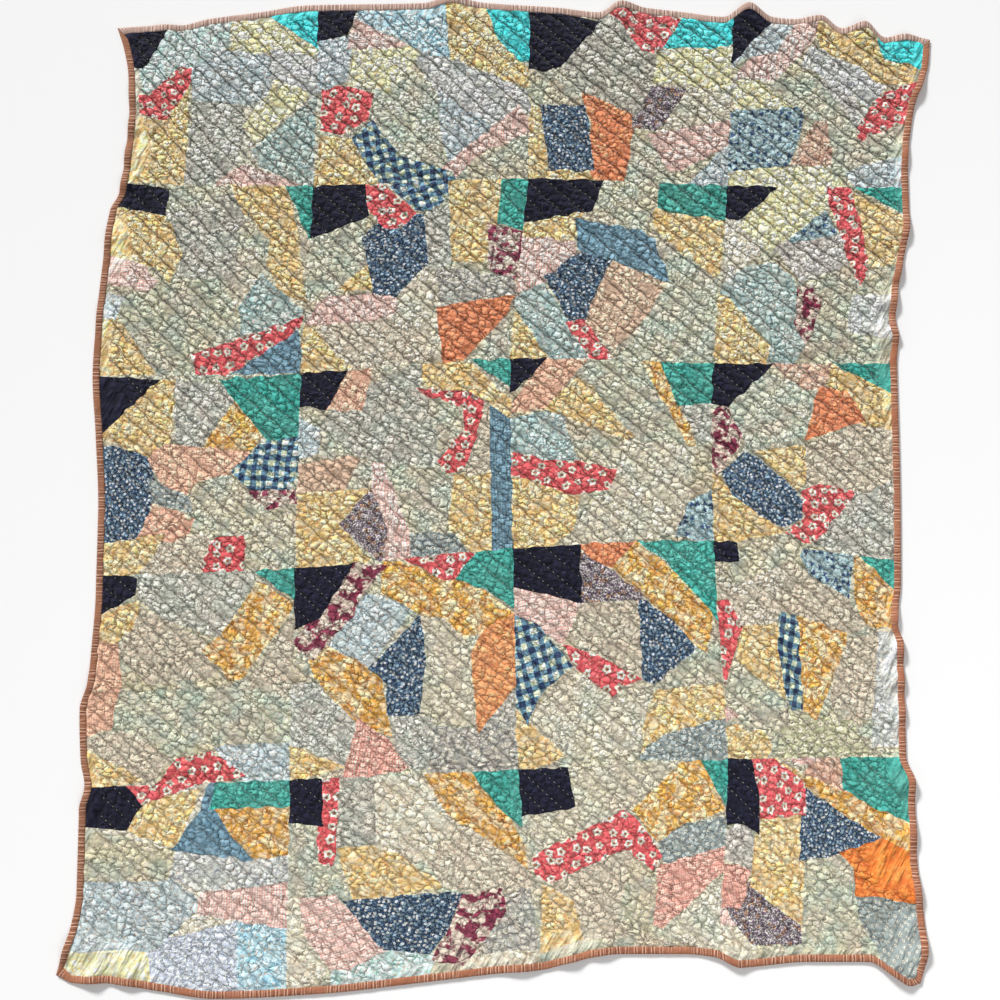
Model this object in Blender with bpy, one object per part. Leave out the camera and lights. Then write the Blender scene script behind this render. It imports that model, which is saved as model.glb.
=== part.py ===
"""A single-bed patchwork quilt laid out flat, front up: the quilted layers as one
solid with its rows of quilting and rippled edge, and four bound edges."""

import math

import bmesh
import bpy
import numpy as np
from mathutils import Vector

# ---- driving dimensions (mm unless a name says otherwise) ----
BINDING_WIDTH = 14.0      # how far the bound strip reaches over the face
BINDING_CLOTH = 1.2       # two layers of folded cotton
BINDING_HEIGHT = 6.6      # over the filled edge
BINDING_SOFT_EDGE = 1.2   # rounding of the fold
CLEAR = 0.4               # air between neighbouring pieces
EDGE_THICK = 3.4          # layers pinched inside the binding
BORDER_TOP = 5.2          # face of the unquilted border
STITCH_TOP = 3.4          # face at a row of quilting stitches
PUFF_TOP = 6.4            # face half-way between two rows
PUFF_VARIES = 0.7
LINE_GAP = 28.0           # between rows of quilting
CREASE_GAP = 95.0         # along a row, between cross creases
LINE_ANGLE = 43.0         # degrees below the width, towards the right
LINE_FAN = -0.02          # per metre: how much the rows spread
LINE_WAVE, LINE_WAVE_LENGTH = 19.0, 2400.0   # the slow curve of each row
STATION_GAP = 27.0        # spacing of the points round the edge
PLAIN_BORDER = 45.0       # depth of edge that carries no quilting
RIPPLE_REACH = 90.0       # how far a ripple of the edge reaches inwards
BINDING_ROW = 14.0        # the layers' row under the inner edge of the binding
FADE_IN = 30.0            # quilting grows from nothing over this depth

# Along each side: where the block seams meet it (cm), from the first block on.
SEAMS = {
    "top": (-82.0, -40.0, 4.5, 47.5, 88.5),
    "bottom": (-88.5, -43.5, 6.5, 41.0, 80.5),
    "left": (95.5, 62.0, 21.5, -19.5, -61.5, -97.5),
    "right": (93.0, 61.0, 24.0, -16.5, -55.5, -99.0),
}

# The run of each bound edge: (blocks along the side, distance from the middle in cm)
RUN = {
    "top": (
        (0.00, 95.5), (0.20, 96.0), (0.30, 96.0), (0.46, 97.5), (0.72, 99.0),
        (0.95, 100.5), (1.50, 101.0), (1.63, 102.0), (1.80, 101.0), (2.13, 100.0),
        (2.34, 99.0), (2.44, 101.0), (2.56, 100.0), (2.75, 99.0), (2.95, 98.0),
        (3.07, 100.5), (3.19, 98.0), (3.30, 97.5), (3.44, 98.0), (3.55, 95.5),
        (3.66, 96.5), (3.77, 93.5), (3.87, 94.0), (4.00, 93.0),
    ),
    "left": (
        (0.00, -82.0), (0.14, -80.5), (0.30, -79.5), (0.60, -79.0), (0.80, -79.5),
        (1.05, -80.5), (1.16, -82.5), (1.40, -83.5), (1.70, -84.5), (1.98, -85.0),
        (2.30, -84.0), (2.70, -83.0), (3.10, -83.0), (3.33, -83.5), (3.50, -84.0),
        (3.62, -85.5), (3.86, -85.0), (4.00, -84.0), (4.12, -85.0), (4.55, -85.0),
        (4.75, -86.0), (4.90, -87.5), (5.00, -88.5),
    ),
    "bottom": (
        (0.00, -97.5), (0.08, -99.0), (0.20, -99.0), (0.45, -100.5), (0.70, -102.0),
        (1.15, -101.0), (1.50, -99.0), (1.85, -97.0), (2.00, -96.5), (2.15, -95.0),
        (2.40, -93.5), (2.80, -93.5), (2.98, -94.0), (3.12, -96.0), (3.45, -95.0),
        (3.75, -95.0), (3.86, -97.5), (3.95, -99.5), (4.00, -99.0),
    ),
    "right": (
        (0.00, 88.5), (0.17, 88.0), (0.28, 87.0), (0.44, 85.0), (0.60, 84.0),
        (0.85, 83.0), (1.20, 83.0), (1.37, 82.0), (1.55, 80.5), (1.78, 79.5),
        (1.87, 80.0), (2.00, 79.5), (2.40, 79.5), (3.10, 79.0), (3.33, 78.0),
        (3.42, 79.0), (4.00, 79.0), (4.12, 80.5), (4.42, 80.5), (4.70, 81.5),
        (4.86, 82.0), (5.00, 80.5),
    ),
}

# Ripples of the edge: (blocks along, half-width in mm, lift in mm)
RIPPLES = {
    "top": (
        (0.25, 45, 8), (1.63, 60, 12), (2.44, 55, 14), (3.07, 60, 16),
        (3.42, 45, 9), (3.66, 50, 14), (3.87, 35, 8),
    ),
    "left": (
        (0.45, 40, 6), (0.65, 35, 8), (0.83, 35, 8), (1.00, 35, 9), (1.30, 50, 7),
        (1.70, 50, 5), (3.50, 45, 6), (4.05, 40, 7), (4.85, 45, 12),
    ),
    "bottom": (
        (0.15, 40, 10), (0.30, 40, 7), (1.90, 50, 6), (2.15, 40, 8),
        (2.32, 40, 6), (3.05, 60, 9), (3.86, 60, 14),
    ),
    "right": (
        (0.35, 45, 8), (0.80, 40, 6), (1.25, 45, 8), (1.50, 34, 8), (1.66, 34, 9),
        (1.83, 34, 9), (3.30, 38, 8), (3.45, 38, 10), (3.62, 34, 8), (3.78, 34, 7),
        (4.10, 50, 12), (4.35, 45, 8), (4.60, 45, 9), (4.85, 45, 10),
    ),
}

CLOTHS = (  # name, colour, roughness
    ("patchwork_cotton", (0.62, 0.50, 0.36, 1.0), 0.9),
    ("binding_cotton", (0.46, 0.15, 0.07, 1.0), 0.85),
)

MM, CM = 0.001, 0.01


def curve(table, at):
    """A line through the table's rows that never swings past them."""
    x, y = np.array(table, float).T
    h, rise = np.diff(x), np.diff(y) / np.diff(x)
    inner = np.where(
        rise[:-1] * rise[1:] > 0,
        2 * rise[:-1] * rise[1:] / np.where(rise[:-1] + rise[1:] == 0, 1, rise[:-1] + rise[1:]),
        0.0,
    )
    slope = np.concatenate([[rise[0]], inner, [rise[-1]]])
    k = np.clip(np.searchsorted(x, at, side="right") - 1, 0, len(h) - 1)
    t = (at - x[k]) / h[k]
    return (
        (1 + 2 * t) * (1 - t) ** 2 * y[k]
        + t * (1 - t) ** 2 * h[k] * slope[k]
        + t * t * (3 - 2 * t) * y[k + 1]
        + t * t * (t - 1) * h[k] * slope[k + 1]
    )


def edge_point(side, at):
    """Metres, on the outer line of one side, `at` blocks from its start."""
    at = np.asarray(at, float)
    along = curve(list(enumerate(SEAMS[side])), at) * CM
    off = curve(RUN[side], at) * CM
    return np.stack([along, off] if side in ("top", "bottom") else [off, along], -1)


def side_stations(side, gap):
    """Even points from one corner to the next, clockwise from the top left."""
    blocks = len(SEAMS[side]) - 1
    fine = np.linspace(0, blocks, 4001)
    points = edge_point(side, fine)
    length = np.concatenate([[0], np.cumsum(np.hypot(*np.diff(points, axis=0).T))])
    steps = round(length[-1] / gap)
    at = np.interp(np.linspace(0, length[-1], steps + 1), length, fine)
    points = edge_point(side, at)
    return points if side in ("top", "right") else points[::-1]


def ripple_height(points):
    """How far the ripples lift each point, in metres."""
    lift = np.zeros(len(points))
    inward = {"top": (0, -1), "bottom": (0, 1), "left": (1, 0), "right": (-1, 0)}
    for side, rows in RIPPLES.items():
        into = np.array(inward[side], float)
        for at, half_width, height in rows:
            from_ripple = points - edge_point(side, at)
            along = from_ripple @ np.array([into[1], -into[0]]) / (half_width * MM)
            depth = np.clip(from_ripple @ into / (RIPPLE_REACH * MM), 0, 1)
            hump = np.where(abs(along) < 1, np.cos(along * math.pi / 2) ** 2, 0)
            lift += height * MM * hump * (1 - depth)
    return lift


def to_rows(points):
    """Plan position to (row of quilting, distance along it), in metres."""
    a = math.radians(LINE_ANGLE)
    u = points[:, 0] * math.sin(a) + points[:, 1] * math.cos(a)
    v = points[:, 0] * math.cos(a) - points[:, 1] * math.sin(a)
    return np.stack([u * (1 + LINE_FAN * v) - row_wave(v), v], -1)


def from_rows(rows):
    a = math.radians(LINE_ANGLE)
    v = rows[:, 1]
    u = (rows[:, 0] + row_wave(v)) / (1 + LINE_FAN * v)
    x, y = u * math.sin(a) + v * math.cos(a), u * math.cos(a) - v * math.sin(a)
    return np.stack([x, y], -1)


def row_wave(v):
    turn = 2 * math.pi / (LINE_WAVE_LENGTH * MM)
    return LINE_WAVE * MM * np.sin(v * turn)


def distance_to_loop(points, loop):
    """Shortest distance from each point to a closed line."""
    a, b = loop, np.roll(loop, -1, axis=0)
    ab = b - a
    t = ((points[:, None] - a) * ab).sum(-1) / (ab * ab).sum(-1)
    near = a + np.clip(t, 0, 1)[..., None] * ab
    return np.sqrt(((points[:, None] - near) ** 2).sum(-1)).min(1)


# ---- the line of stations round the quilt, and the way inwards from each ----
ORDER = ("top", "right", "bottom", "left")
SIDES = {side: side_stations(side, STATION_GAP * MM) for side in ORDER}
LOOP = np.concatenate([SIDES[side][:-1] for side in ORDER])
MIDDLE = (LOOP.min(0) + LOOP.max(0)) / 2
FIRST = np.cumsum([0] + [len(SIDES[side]) - 1 for side in ORDER])


def inward_ways():
    """One vector a station: 1 mm inwards is one unit; corners go in diagonally."""
    corners = [np.array(c, float) for c in ((1, -1), (-1, -1), (-1, 1), (1, 1))]
    ways = []
    for n, side in enumerate(ORDER):
        steps = len(SIDES[side]) - 1
        for k in range(steps):
            t = k / steps
            ways.append((1 - t) * corners[n] + t * corners[(n + 1) % 4])
    return np.array(ways)


WAYS = inward_ways()
EDGE_LIFT = ripple_height(LOOP)
ROW_LIFT = ripple_height(LOOP + WAYS * BINDING_ROW * MM)


def ring(depth):
    return LOOP + WAYS * depth * MM


def ring_lift(depth):
    """Both the layers and the binding read this, so the air between stays even."""
    if depth <= BINDING_ROW:
        return EDGE_LIFT + (ROW_LIFT - EDGE_LIFT) * depth / BINDING_ROW
    return ripple_height(ring(depth))


def material(name, colour, roughness):
    made = bpy.data.materials.new(name)
    made.use_nodes = True
    shader = made.node_tree.nodes["Principled BSDF"]
    shader.inputs["Base Color"].default_value = colour
    shader.inputs["Roughness"].default_value = roughness
    return made


def add_object(name, bm, cloth):
    bmesh.ops.triangulate(bm, faces=bm.faces[:])
    bmesh.ops.recalc_face_normals(bm, faces=bm.faces[:])
    mesh = bpy.data.meshes.new(name)
    bm.to_mesh(mesh)
    bm.free()
    mesh.materials.append(cloth)
    obj = bpy.data.objects.new(name, mesh)
    bpy.context.scene.collection.objects.link(obj)
    print(name, len(mesh.polygons), "triangles")
    return obj


def around_loop(count):
    return [(k, (k + 1) % count) for k in range(count)]


def strip(bm, one, two, one_is_deeper, closed=True):
    """Triangles between two lines, their long side always from the deeper line's
    first point, so that a strip and what lies inside it bend alike."""
    for k, m in around_loop(len(one))[: None if closed else -1]:
        if one_is_deeper:
            bm.faces.new((one[k], one[m], two[m]))
            bm.faces.new((one[k], two[m], two[k]))
        else:
            bm.faces.new((one[k], one[m], two[k]))
            bm.faces.new((one[m], two[m], two[k]))


def cut(bm, mark, along_row, places, snap):
    """Cut the marked faces at each place across the rows (0) or along them (1)."""
    normal = Vector((0, 0, 0))
    normal[along_row] = 1
    for place in places:
        faces = [
            f for f in bm.faces
            if f[mark] == 1
            and min(v.co[along_row] for v in f.verts) < place
            and max(v.co[along_row] for v in f.verts) > place
        ]
        around = {e for f in faces for e in f.edges} | {v for f in faces for v in f.verts}
        at = Vector((0, 0, 0))
        at[along_row] = place
        bmesh.ops.bisect_plane(
            bm, geom=faces + list(around), dist=snap, plane_co=at, plane_no=normal
        )


def build_layers(cloth):
    """Face, filling and backing quilted together: one solid."""
    bm = bmesh.new()
    mark = bm.faces.layers.int.new("quilted")
    fixed = {}

    def row(depth, height, lift=None):
        points, up = ring(depth), ring_lift(depth) if lift is None else lift
        verts = []
        for p, q, z in zip(points, to_rows(points), up + height * MM):
            vert = bm.verts.new((q[0], q[1], 0.0))
            fixed[vert] = (p[0], p[1], z)
            verts.append(vert)
        return verts

    inset = BINDING_CLOTH + CLEAR
    low = BINDING_CLOTH + CLEAR
    rows = [
        row(RIPPLE_REACH, 0.0, 0.0 * EDGE_LIFT),
        row(PLAIN_BORDER, low / 2),
        row(BINDING_ROW, low),
        row(inset, low),
        row(inset, low + EDGE_THICK),
        row(BINDING_ROW, low + EDGE_THICK),
        row(PLAIN_BORDER, BORDER_TOP),
    ]
    depths = [RIPPLE_REACH, PLAIN_BORDER, BINDING_ROW, inset, inset, BINDING_ROW, PLAIN_BORDER]
    for n, (lower, upper) in enumerate(zip(rows, rows[1:])):
        if max(depths[n:n + 2]) <= BINDING_ROW:
            strip(bm, lower, upper, depths[n] > depths[n + 1])
            continue
        for k, m in around_loop(len(LOOP)):
            bm.faces.new((lower[k], lower[m], upper[m], upper[k]))
    face = bm.faces.new(rows[-1])
    face[mark] = 1
    bm.faces.new(rows[0][::-1])

    corner_rows = to_rows(LOOP)
    (q0, v0), (q1, v1) = corner_rows.min(0), corner_rows.max(0)
    half = LINE_GAP * MM / 2
    cut(bm, mark, 0, np.arange(math.floor(q0 / half), math.ceil(q1 / half)) * half, 0.0022)
    step = CREASE_GAP * MM
    cut(bm, mark, 1, np.arange(math.floor(v0 / step), math.ceil(v1 / step)) * step, 0.0045)

    loose = [v for v in bm.verts if v not in fixed]
    place = np.array([v.co[:2] for v in loose])
    points = from_rows(place)
    grow = np.clip(distance_to_loop(points, ring(PLAIN_BORDER)) / (FADE_IN * MM), 0, 1)
    number = np.round(place[:, 0] / half).astype(int)
    crease = np.round(place[:, 1] / step)
    puffed = PUFF_TOP + PUFF_VARIES * np.sin(number * 2.3 + crease * 4.1)
    height = np.where(number % 2 == 0, STITCH_TOP, puffed)
    height = BORDER_TOP + (height - BORDER_TOP) * grow
    z = height * MM + ripple_height(points)
    for vert, p, up in zip(loose, points, z):
        vert.co = (p[0], p[1], up)
    for vert, co in fixed.items():
        vert.co = co
    for vert in bm.verts:
        vert.co.x -= MIDDLE[0]
        vert.co.y -= MIDDLE[1]
    return add_object("quilt", bm, cloth)


def build_binding(side, number, cloth):
    """One folded strip round the raw edge, mitred at both ends."""
    w, c, h, s = BINDING_WIDTH, BINDING_CLOTH, BINDING_HEIGHT, BINDING_SOFT_EDGE
    section = (  # (in from the outer line, up), going round the folded strip
        (w, 0.0), (s, 0.0), (0.0, s), (0.0, h - s), (s, h), (w, h),
        (w, h - c), (c, h - c), (c, c), (w, c),
    )
    first, last = FIRST[number], FIRST[number + 1]
    pick = np.arange(first, last + 1) % len(LOOP)
    bm = bmesh.new()
    lines = []
    for depth, height in section:
        up = ring_lift(depth)[pick] + height * MM
        line = np.column_stack([ring(depth)[pick], up])
        for end, inner in ((0, 1), (-1, -2)):
            step = line[inner] - line[end]
            line[end] += step * CLEAR * MM / np.hypot(step[0], step[1])
        lines.append(line)
    lines = [
        [bm.verts.new((p[0] - MIDDLE[0], p[1] - MIDDLE[1], p[2])) for p in line]
        for line in lines
    ]
    for k, m in around_loop(len(section)):
        strip(bm, lines[k], lines[m], section[k][0] > section[m][0], closed=False)
    for end in ([line[0] for line in lines], [line[-1] for line in lines]):
        # three pieces keep each end of the channel open
        for corners in ((0, 1, 8, 9), (1, 2, 3, 4, 7, 8), (4, 5, 6, 7)):
            bm.faces.new([end[k] for k in corners])
    return add_object(f"binding_{side}", bm, cloth)


def main():
    for obj in list(bpy.data.objects):
        bpy.data.objects.remove(obj, do_unlink=True)
    cloths = [material(*row) for row in CLOTHS]
    build_layers(cloths[0])
    for number, side in enumerate(ORDER):
        build_binding(side, number, cloths[1])


main()
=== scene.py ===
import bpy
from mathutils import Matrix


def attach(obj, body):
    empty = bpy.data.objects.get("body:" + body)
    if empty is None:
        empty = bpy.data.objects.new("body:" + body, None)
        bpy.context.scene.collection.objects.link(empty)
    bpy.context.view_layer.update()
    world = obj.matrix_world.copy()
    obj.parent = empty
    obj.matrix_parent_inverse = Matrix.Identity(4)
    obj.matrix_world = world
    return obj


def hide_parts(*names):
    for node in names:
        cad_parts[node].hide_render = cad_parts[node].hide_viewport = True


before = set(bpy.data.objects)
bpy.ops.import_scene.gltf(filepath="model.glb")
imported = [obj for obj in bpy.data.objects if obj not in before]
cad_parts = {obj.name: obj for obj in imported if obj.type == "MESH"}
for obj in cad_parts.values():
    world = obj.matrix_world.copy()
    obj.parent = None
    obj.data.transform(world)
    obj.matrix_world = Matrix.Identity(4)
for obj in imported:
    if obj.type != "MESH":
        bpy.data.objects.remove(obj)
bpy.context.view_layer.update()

# %% [markdown]
# # A crazy-pieced quilt, laid out on the floor
# The real one is scraps of thin cotton sewn into twenty square blocks, joined, laid over
# a filling and a backing, quilted through in long rows and bound round its raw edge. One
# sheet with patches painted on would be quicker, but no scrap would then have its own
# cloth, turned its own way. So we work as the quilter does, block by block. Sizes are in
# metres; tables are in millimetres or centimetres where they say so.

# %% Tools and measures
import math

import bmesh
import bpy
import numpy as np
from mathutils.bvhtree import BVHTree

MM, CM = 0.001, 0.01
BLOCK = 0.4064       # a 16 in block, as sewn
ACROSS, DOWN = 4, 5  # blocks in the quilt
print(f"{ACROSS * DOWN} blocks of {BLOCK / CM:.1f} cm")

# %% [markdown]
# ## 1. How the quilt lies
# Nothing soft lies square: seams wander, and an edge that has stretched ripples. A cloth
# simulation would ripple it too, but wherever chance put the folds. So tables say where
# the block corners and the four edges ended up, and where the edge stands off the floor.
# The cushion of air under a ripple fades out a hand's breadth in from the edge.

# %% Where the seams and edges lie
SEAMS = {  # where the block seams meet each side, cm
    "top": (-82.0, -40.0, 4.5, 47.5, 88.5),
    "bottom": (-88.5, -43.5, 6.5, 41.0, 80.5),
    "left": (95.5, 62.0, 21.5, -19.5, -61.5, -97.5),
    "right": (93.0, 61.0, 24.0, -16.5, -55.5, -99.0),
}
INNER_CORNERS = (  # the twelve inside block corners, (across, up) in cm, row by row
    ((-40.5, 61.5), (4.0, 63.0), (45.5, 61.5)),
    ((-42.5, 22.0), (0.5, 25.0), (42.0, 24.0)),
    ((-43.0, -18.0), (1.0, -14.0), (41.5, -12.5)),
    ((-43.5, -60.0), (2.0, -58.0), (43.5, -56.0)),
)
RUN = {  # each bound edge: (blocks along it, distance from the middle in cm)
    "top": (
        (0.00, 95.5), (0.20, 96.0), (0.30, 96.0), (0.46, 97.5), (0.72, 99.0),
        (0.95, 100.5), (1.50, 101.0), (1.63, 102.0), (1.80, 101.0), (2.13, 100.0),
        (2.34, 99.0), (2.44, 101.0), (2.56, 100.0), (2.75, 99.0), (2.95, 98.0),
        (3.07, 100.5), (3.19, 98.0), (3.30, 97.5), (3.44, 98.0), (3.55, 95.5),
        (3.66, 96.5), (3.77, 93.5), (3.87, 94.0), (4.00, 93.0),
    ),
    "left": (
        (0.00, -82.0), (0.14, -80.5), (0.30, -79.5), (0.60, -79.0), (0.80, -79.5),
        (1.05, -80.5), (1.16, -82.5), (1.40, -83.5), (1.70, -84.5), (1.98, -85.0),
        (2.30, -84.0), (2.70, -83.0), (3.10, -83.0), (3.33, -83.5), (3.50, -84.0),
        (3.62, -85.5), (3.86, -85.0), (4.00, -84.0), (4.12, -85.0), (4.55, -85.0),
        (4.75, -86.0), (4.90, -87.5), (5.00, -88.5),
    ),
    "bottom": (
        (0.00, -97.5), (0.08, -99.0), (0.20, -99.0), (0.45, -100.5), (0.70, -102.0),
        (1.15, -101.0), (1.50, -99.0), (1.85, -97.0), (2.00, -96.5), (2.15, -95.0),
        (2.40, -93.5), (2.80, -93.5), (2.98, -94.0), (3.12, -96.0), (3.45, -95.0),
        (3.75, -95.0), (3.86, -97.5), (3.95, -99.5), (4.00, -99.0),
    ),
    "right": (
        (0.00, 88.5), (0.17, 88.0), (0.28, 87.0), (0.44, 85.0), (0.60, 84.0),
        (0.85, 83.0), (1.20, 83.0), (1.37, 82.0), (1.55, 80.5), (1.78, 79.5),
        (1.87, 80.0), (2.00, 79.5), (2.40, 79.5), (3.10, 79.0), (3.33, 78.0),
        (3.42, 79.0), (4.00, 79.0), (4.12, 80.5), (4.42, 80.5), (4.70, 81.5),
        (4.86, 82.0), (5.00, 80.5),
    ),
}
RIPPLES = {  # (blocks along, half-width in mm, lift in mm)
    "top": (
        (0.25, 45, 8), (1.63, 60, 12), (2.44, 55, 14), (3.07, 60, 16),
        (3.42, 45, 9), (3.66, 50, 14), (3.87, 35, 8),
    ),
    "left": (
        (0.45, 40, 6), (0.65, 35, 8), (0.83, 35, 8), (1.00, 35, 9), (1.30, 50, 7),
        (1.70, 50, 5), (3.50, 45, 6), (4.05, 40, 7), (4.85, 45, 12),
    ),
    "bottom": (
        (0.15, 40, 10), (0.30, 40, 7), (1.90, 50, 6), (2.15, 40, 8),
        (2.32, 40, 6), (3.05, 60, 9), (3.86, 60, 14),
    ),
    "right": (
        (0.35, 45, 8), (0.80, 40, 6), (1.25, 45, 8), (1.50, 34, 8), (1.66, 34, 9),
        (1.83, 34, 9), (3.30, 38, 8), (3.45, 38, 10), (3.62, 34, 8), (3.78, 34, 7),
        (4.10, 50, 12), (4.35, 45, 8), (4.60, 45, 9), (4.85, 45, 10),
    ),
}
UNQUILTED = (  # cloth left loose: (across, up, half-width, half-height) in cm
    (76.5, -75.5, 6.5, 6.5), (78.5, -92.0, 5.0, 8.0), (79.0, -58.0, 4.0, 5.0),
    (77.5, -36.0, 3.5, 12.0), (78.5, 28.0, 4.0, 14.0), (-78.0, 69.0, 4.5, 7.0),
    (-81.5, 48.0, 4.5, 8.0), (-77.0, -94.5, 9.0, 4.0), (-81.0, 16.0, 3.5, 5.0),
    (12.0, -92.5, 8.0, 4.0),
)
print(sum(len(rows) for rows in RIPPLES.values()), "ripples,", len(UNQUILTED), "loose spots")


# %% Smooth lines through the tables
def curve(table, at):
    """A line through the table's rows that never swings past them."""
    x, y = np.array(table, float).T
    h, rise = np.diff(x), np.diff(y) / np.diff(x)
    both = rise[:-1] * rise[1:]
    total = rise[:-1] + rise[1:]
    inner = np.where(both > 0, 2 * both / np.where(total == 0, 1, total), 0.0)
    slope = np.concatenate([[rise[0]], inner, [rise[-1]]])
    k = np.clip(np.searchsorted(x, at, side="right") - 1, 0, len(h) - 1)
    t = (at - x[k]) / h[k]
    return (
        (1 + 2 * t) * (1 - t) ** 2 * y[k]
        + t * (1 - t) ** 2 * h[k] * slope[k]
        + t * t * (3 - 2 * t) * y[k + 1]
        + t * t * (t - 1) * h[k] * slope[k + 1]
    )


def edge_point(side, at):
    """Where the outer line of one side lies, `at` blocks from its start."""
    at = np.asarray(at, float)
    along = curve(list(enumerate(SEAMS[side])), at) * CM
    off = curve(RUN[side], at) * CM
    return np.stack([along, off] if side in ("top", "bottom") else [off, along], -1)


def glide(values, t):
    """A smooth line through values, one a block, read at t blocks."""
    slope = np.gradient(values, axis=0)
    k = np.clip(t.astype(int), 0, len(values) - 2)
    pick = (k,) if values.ndim == 2 else (k, np.arange(len(t)))
    after = (k + 1,) + pick[1:]
    f = (t - k)[:, None]
    return (
        (1 + 2 * f) * (1 - f) ** 2 * values[pick] + f * (1 - f) ** 2 * slope[pick]
        + f * f * (3 - 2 * f) * values[after] + f * f * (f - 1) * slope[after]
    )


def ease(t):
    t = np.clip(t, 0, 1)
    return t * t * (3 - 2 * t)


print("middle of the lower edge:", edge_point("bottom", 2.0).round(3), "m")

# %% From the flat quilt to the floor
INWARD = {"top": (0, -1), "right": (-1, 0), "bottom": (0, 1), "left": (1, 0)}
REACH = 90 * MM  # a ripple's cushion of air, in from the edge
CORNERS = np.zeros((DOWN + 1, ACROSS + 1, 2))
for side, edge in (("top", 0), ("bottom", DOWN)):
    CORNERS[edge] = edge_point(side, np.arange(ACROSS + 1.0))
for side, edge in (("left", 0), ("right", ACROSS)):
    CORNERS[:, edge] = edge_point(side, np.arange(DOWN + 1.0))
CORNERS[1:-1, 1:-1] = np.array(INNER_CORNERS) * CM


def lie(across, down):
    """Blocks across and down from the top left corner, to metres on the floor."""
    rows = np.stack([glide(CORNERS[r], across) for r in range(DOWN + 1)])
    place = glide(rows, down)
    for side, start, here, along in (
        ("top", CORNERS[0], down, across),
        ("bottom", CORNERS[-1], DOWN - down, across),
        ("left", CORNERS[:, 0], across, down),
        ("right", CORNERS[:, -1], ACROSS - across, down),
    ):
        off = edge_point(side, along) - glide(start, along)
        place = place + off * (1 - ease(here / 0.6))[:, None]
    return place


def lifted(points):
    """How far the edge ripples lift the cloth at each point."""
    lift = np.zeros(len(points))
    for side, rows in RIPPLES.items():
        into = np.array(INWARD[side], float)
        for at, half_width, height in rows:
            away = points - edge_point(side, at)
            along = away @ np.array([into[1], -into[0]]) / (half_width * MM)
            depth = np.clip(away @ into / REACH, 0, 1)
            hump = np.where(abs(along) < 1, np.cos(along * math.pi / 2) ** 2, 0)
            lift += height * MM * hump * (1 - depth) ** 1.3
    return lift


size = [np.ptp(CORNERS[..., n]) for n in (0, 1)]
print("corner to corner:", [round(float(s), 3) for s in size], "m")

# %% [markdown]
# ## 2. Rows of quilting
# Rows of running stitch cross the whole quilt on the slant, in slow curves. Between two
# rows the washed wadding stands up in puffs about as wide as a thumb, with creases
# between them. Shrinking a simulated cloth between its stitches would take many minutes
# here, so we work out the face's height at any point instead: one rule serves all twenty
# blocks, and their edges meet. `row_at` says which row a point is in, and is a whole
# number on a row of stitches. `net_at` says where the point is in the net of puffs.

# %% Rows and puffs
ROW_GAP = 28 * MM             # between rows of quilting
TURN = math.radians(43)       # rows run this far below the width, towards the right
SPREAD = -0.02                # how much the rows close up along their length, per metre
SWAY, SWAY_LENGTH = 19 * MM, 2.4  # the rows' slow curve: how far, over how many metres
ROW_SHAKE = 1.6 * MM          # how far a hand-sewn row strays
PUFF = (20 * MM, 12.5 * MM)   # usual length and width of one puff
PUFF_TURN = math.radians(18)


def drift(points, size, seed, waves=10):
    """Smooth random swelling, about -1 to 1, with features of about that size."""
    random = np.random.default_rng(seed)
    total = np.zeros(len(points))
    for _ in range(waves):
        way, phase = random.uniform(0, 2 * math.pi, 2)
        turn = 2 * math.pi / (size * random.uniform(1.1, 2.6))
        total += np.sin((points @ (math.cos(way), math.sin(way))) * turn + phase)
    return total / math.sqrt(waves)


def sway(v):
    return SWAY * np.sin(v * 2 * math.pi / SWAY_LENGTH)


def row_at(points):
    """The row of stitches at each point: a whole number on a row."""
    u = points @ (math.sin(TURN), math.cos(TURN))
    v = points @ (math.cos(TURN), -math.sin(TURN))
    q = u * (1 + SPREAD * v) - sway(v) + ROW_SHAKE * drift(points, 0.12, 3)
    return q / ROW_GAP


def net_at(points):
    """Where each point is in the loose net of puffs, one puff a unit."""
    bend = 0.22 * drift(points, 0.06, 7)
    i = points @ (math.cos(PUFF_TURN), -math.sin(PUFF_TURN)) / PUFF[0] + bend
    j = points @ (math.sin(PUFF_TURN), math.cos(PUFF_TURN)) / PUFF[1] - bend
    return np.stack([i, j], -1)


def on_row(number, v):
    """Points along one row of stitches."""
    q = number * ROW_GAP
    points = None
    for _ in range(4):  # the shake depends on the place, so close in on it
        extra = 0 if points is None else ROW_SHAKE * drift(points, 0.12, 3)
        u = (q + sway(v) - extra) / (1 + SPREAD * v)
        x = u * math.sin(TURN) + v * math.cos(TURN)
        y = u * math.cos(TURN) - v * math.sin(TURN)
        points = np.stack([x, y], -1)
    return points


print("rows of quilting:", round(2 * float(row_at(CORNERS[0, -1:])[0])), "or so")


# %% The net of puffs, read by Blender
NET_LOOSE = 0.72  # how irregular the puffs are, 0 to 1


def make_net_reader():
    """A node group that stores how far each point of a mesh is from an edge of the net."""
    tree = bpy.data.node_groups.new("net_reader", "GeometryNodeTree")
    tree.interface.new_socket("Geometry", in_out="INPUT", socket_type="NodeSocketGeometry")
    tree.interface.new_socket("Geometry", in_out="OUTPUT", socket_type="NodeSocketGeometry")
    start, end = tree.nodes.new("NodeGroupInput"), tree.nodes.new("NodeGroupOutput")
    store = tree.nodes.new("GeometryNodeStoreNamedAttribute")
    store.inputs["Name"].default_value = "edge"
    cells = tree.nodes.new("ShaderNodeTexVoronoi")
    cells.voronoi_dimensions, cells.feature = "2D", "DISTANCE_TO_EDGE"
    cells.inputs["Scale"].default_value = 1.0
    cells.inputs["Randomness"].default_value = NET_LOOSE
    tree.links.new(start.outputs[0], store.inputs["Geometry"])
    tree.links.new(cells.outputs["Distance"], store.inputs["Value"])
    tree.links.new(store.outputs["Geometry"], end.inputs[0])
    return tree


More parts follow.
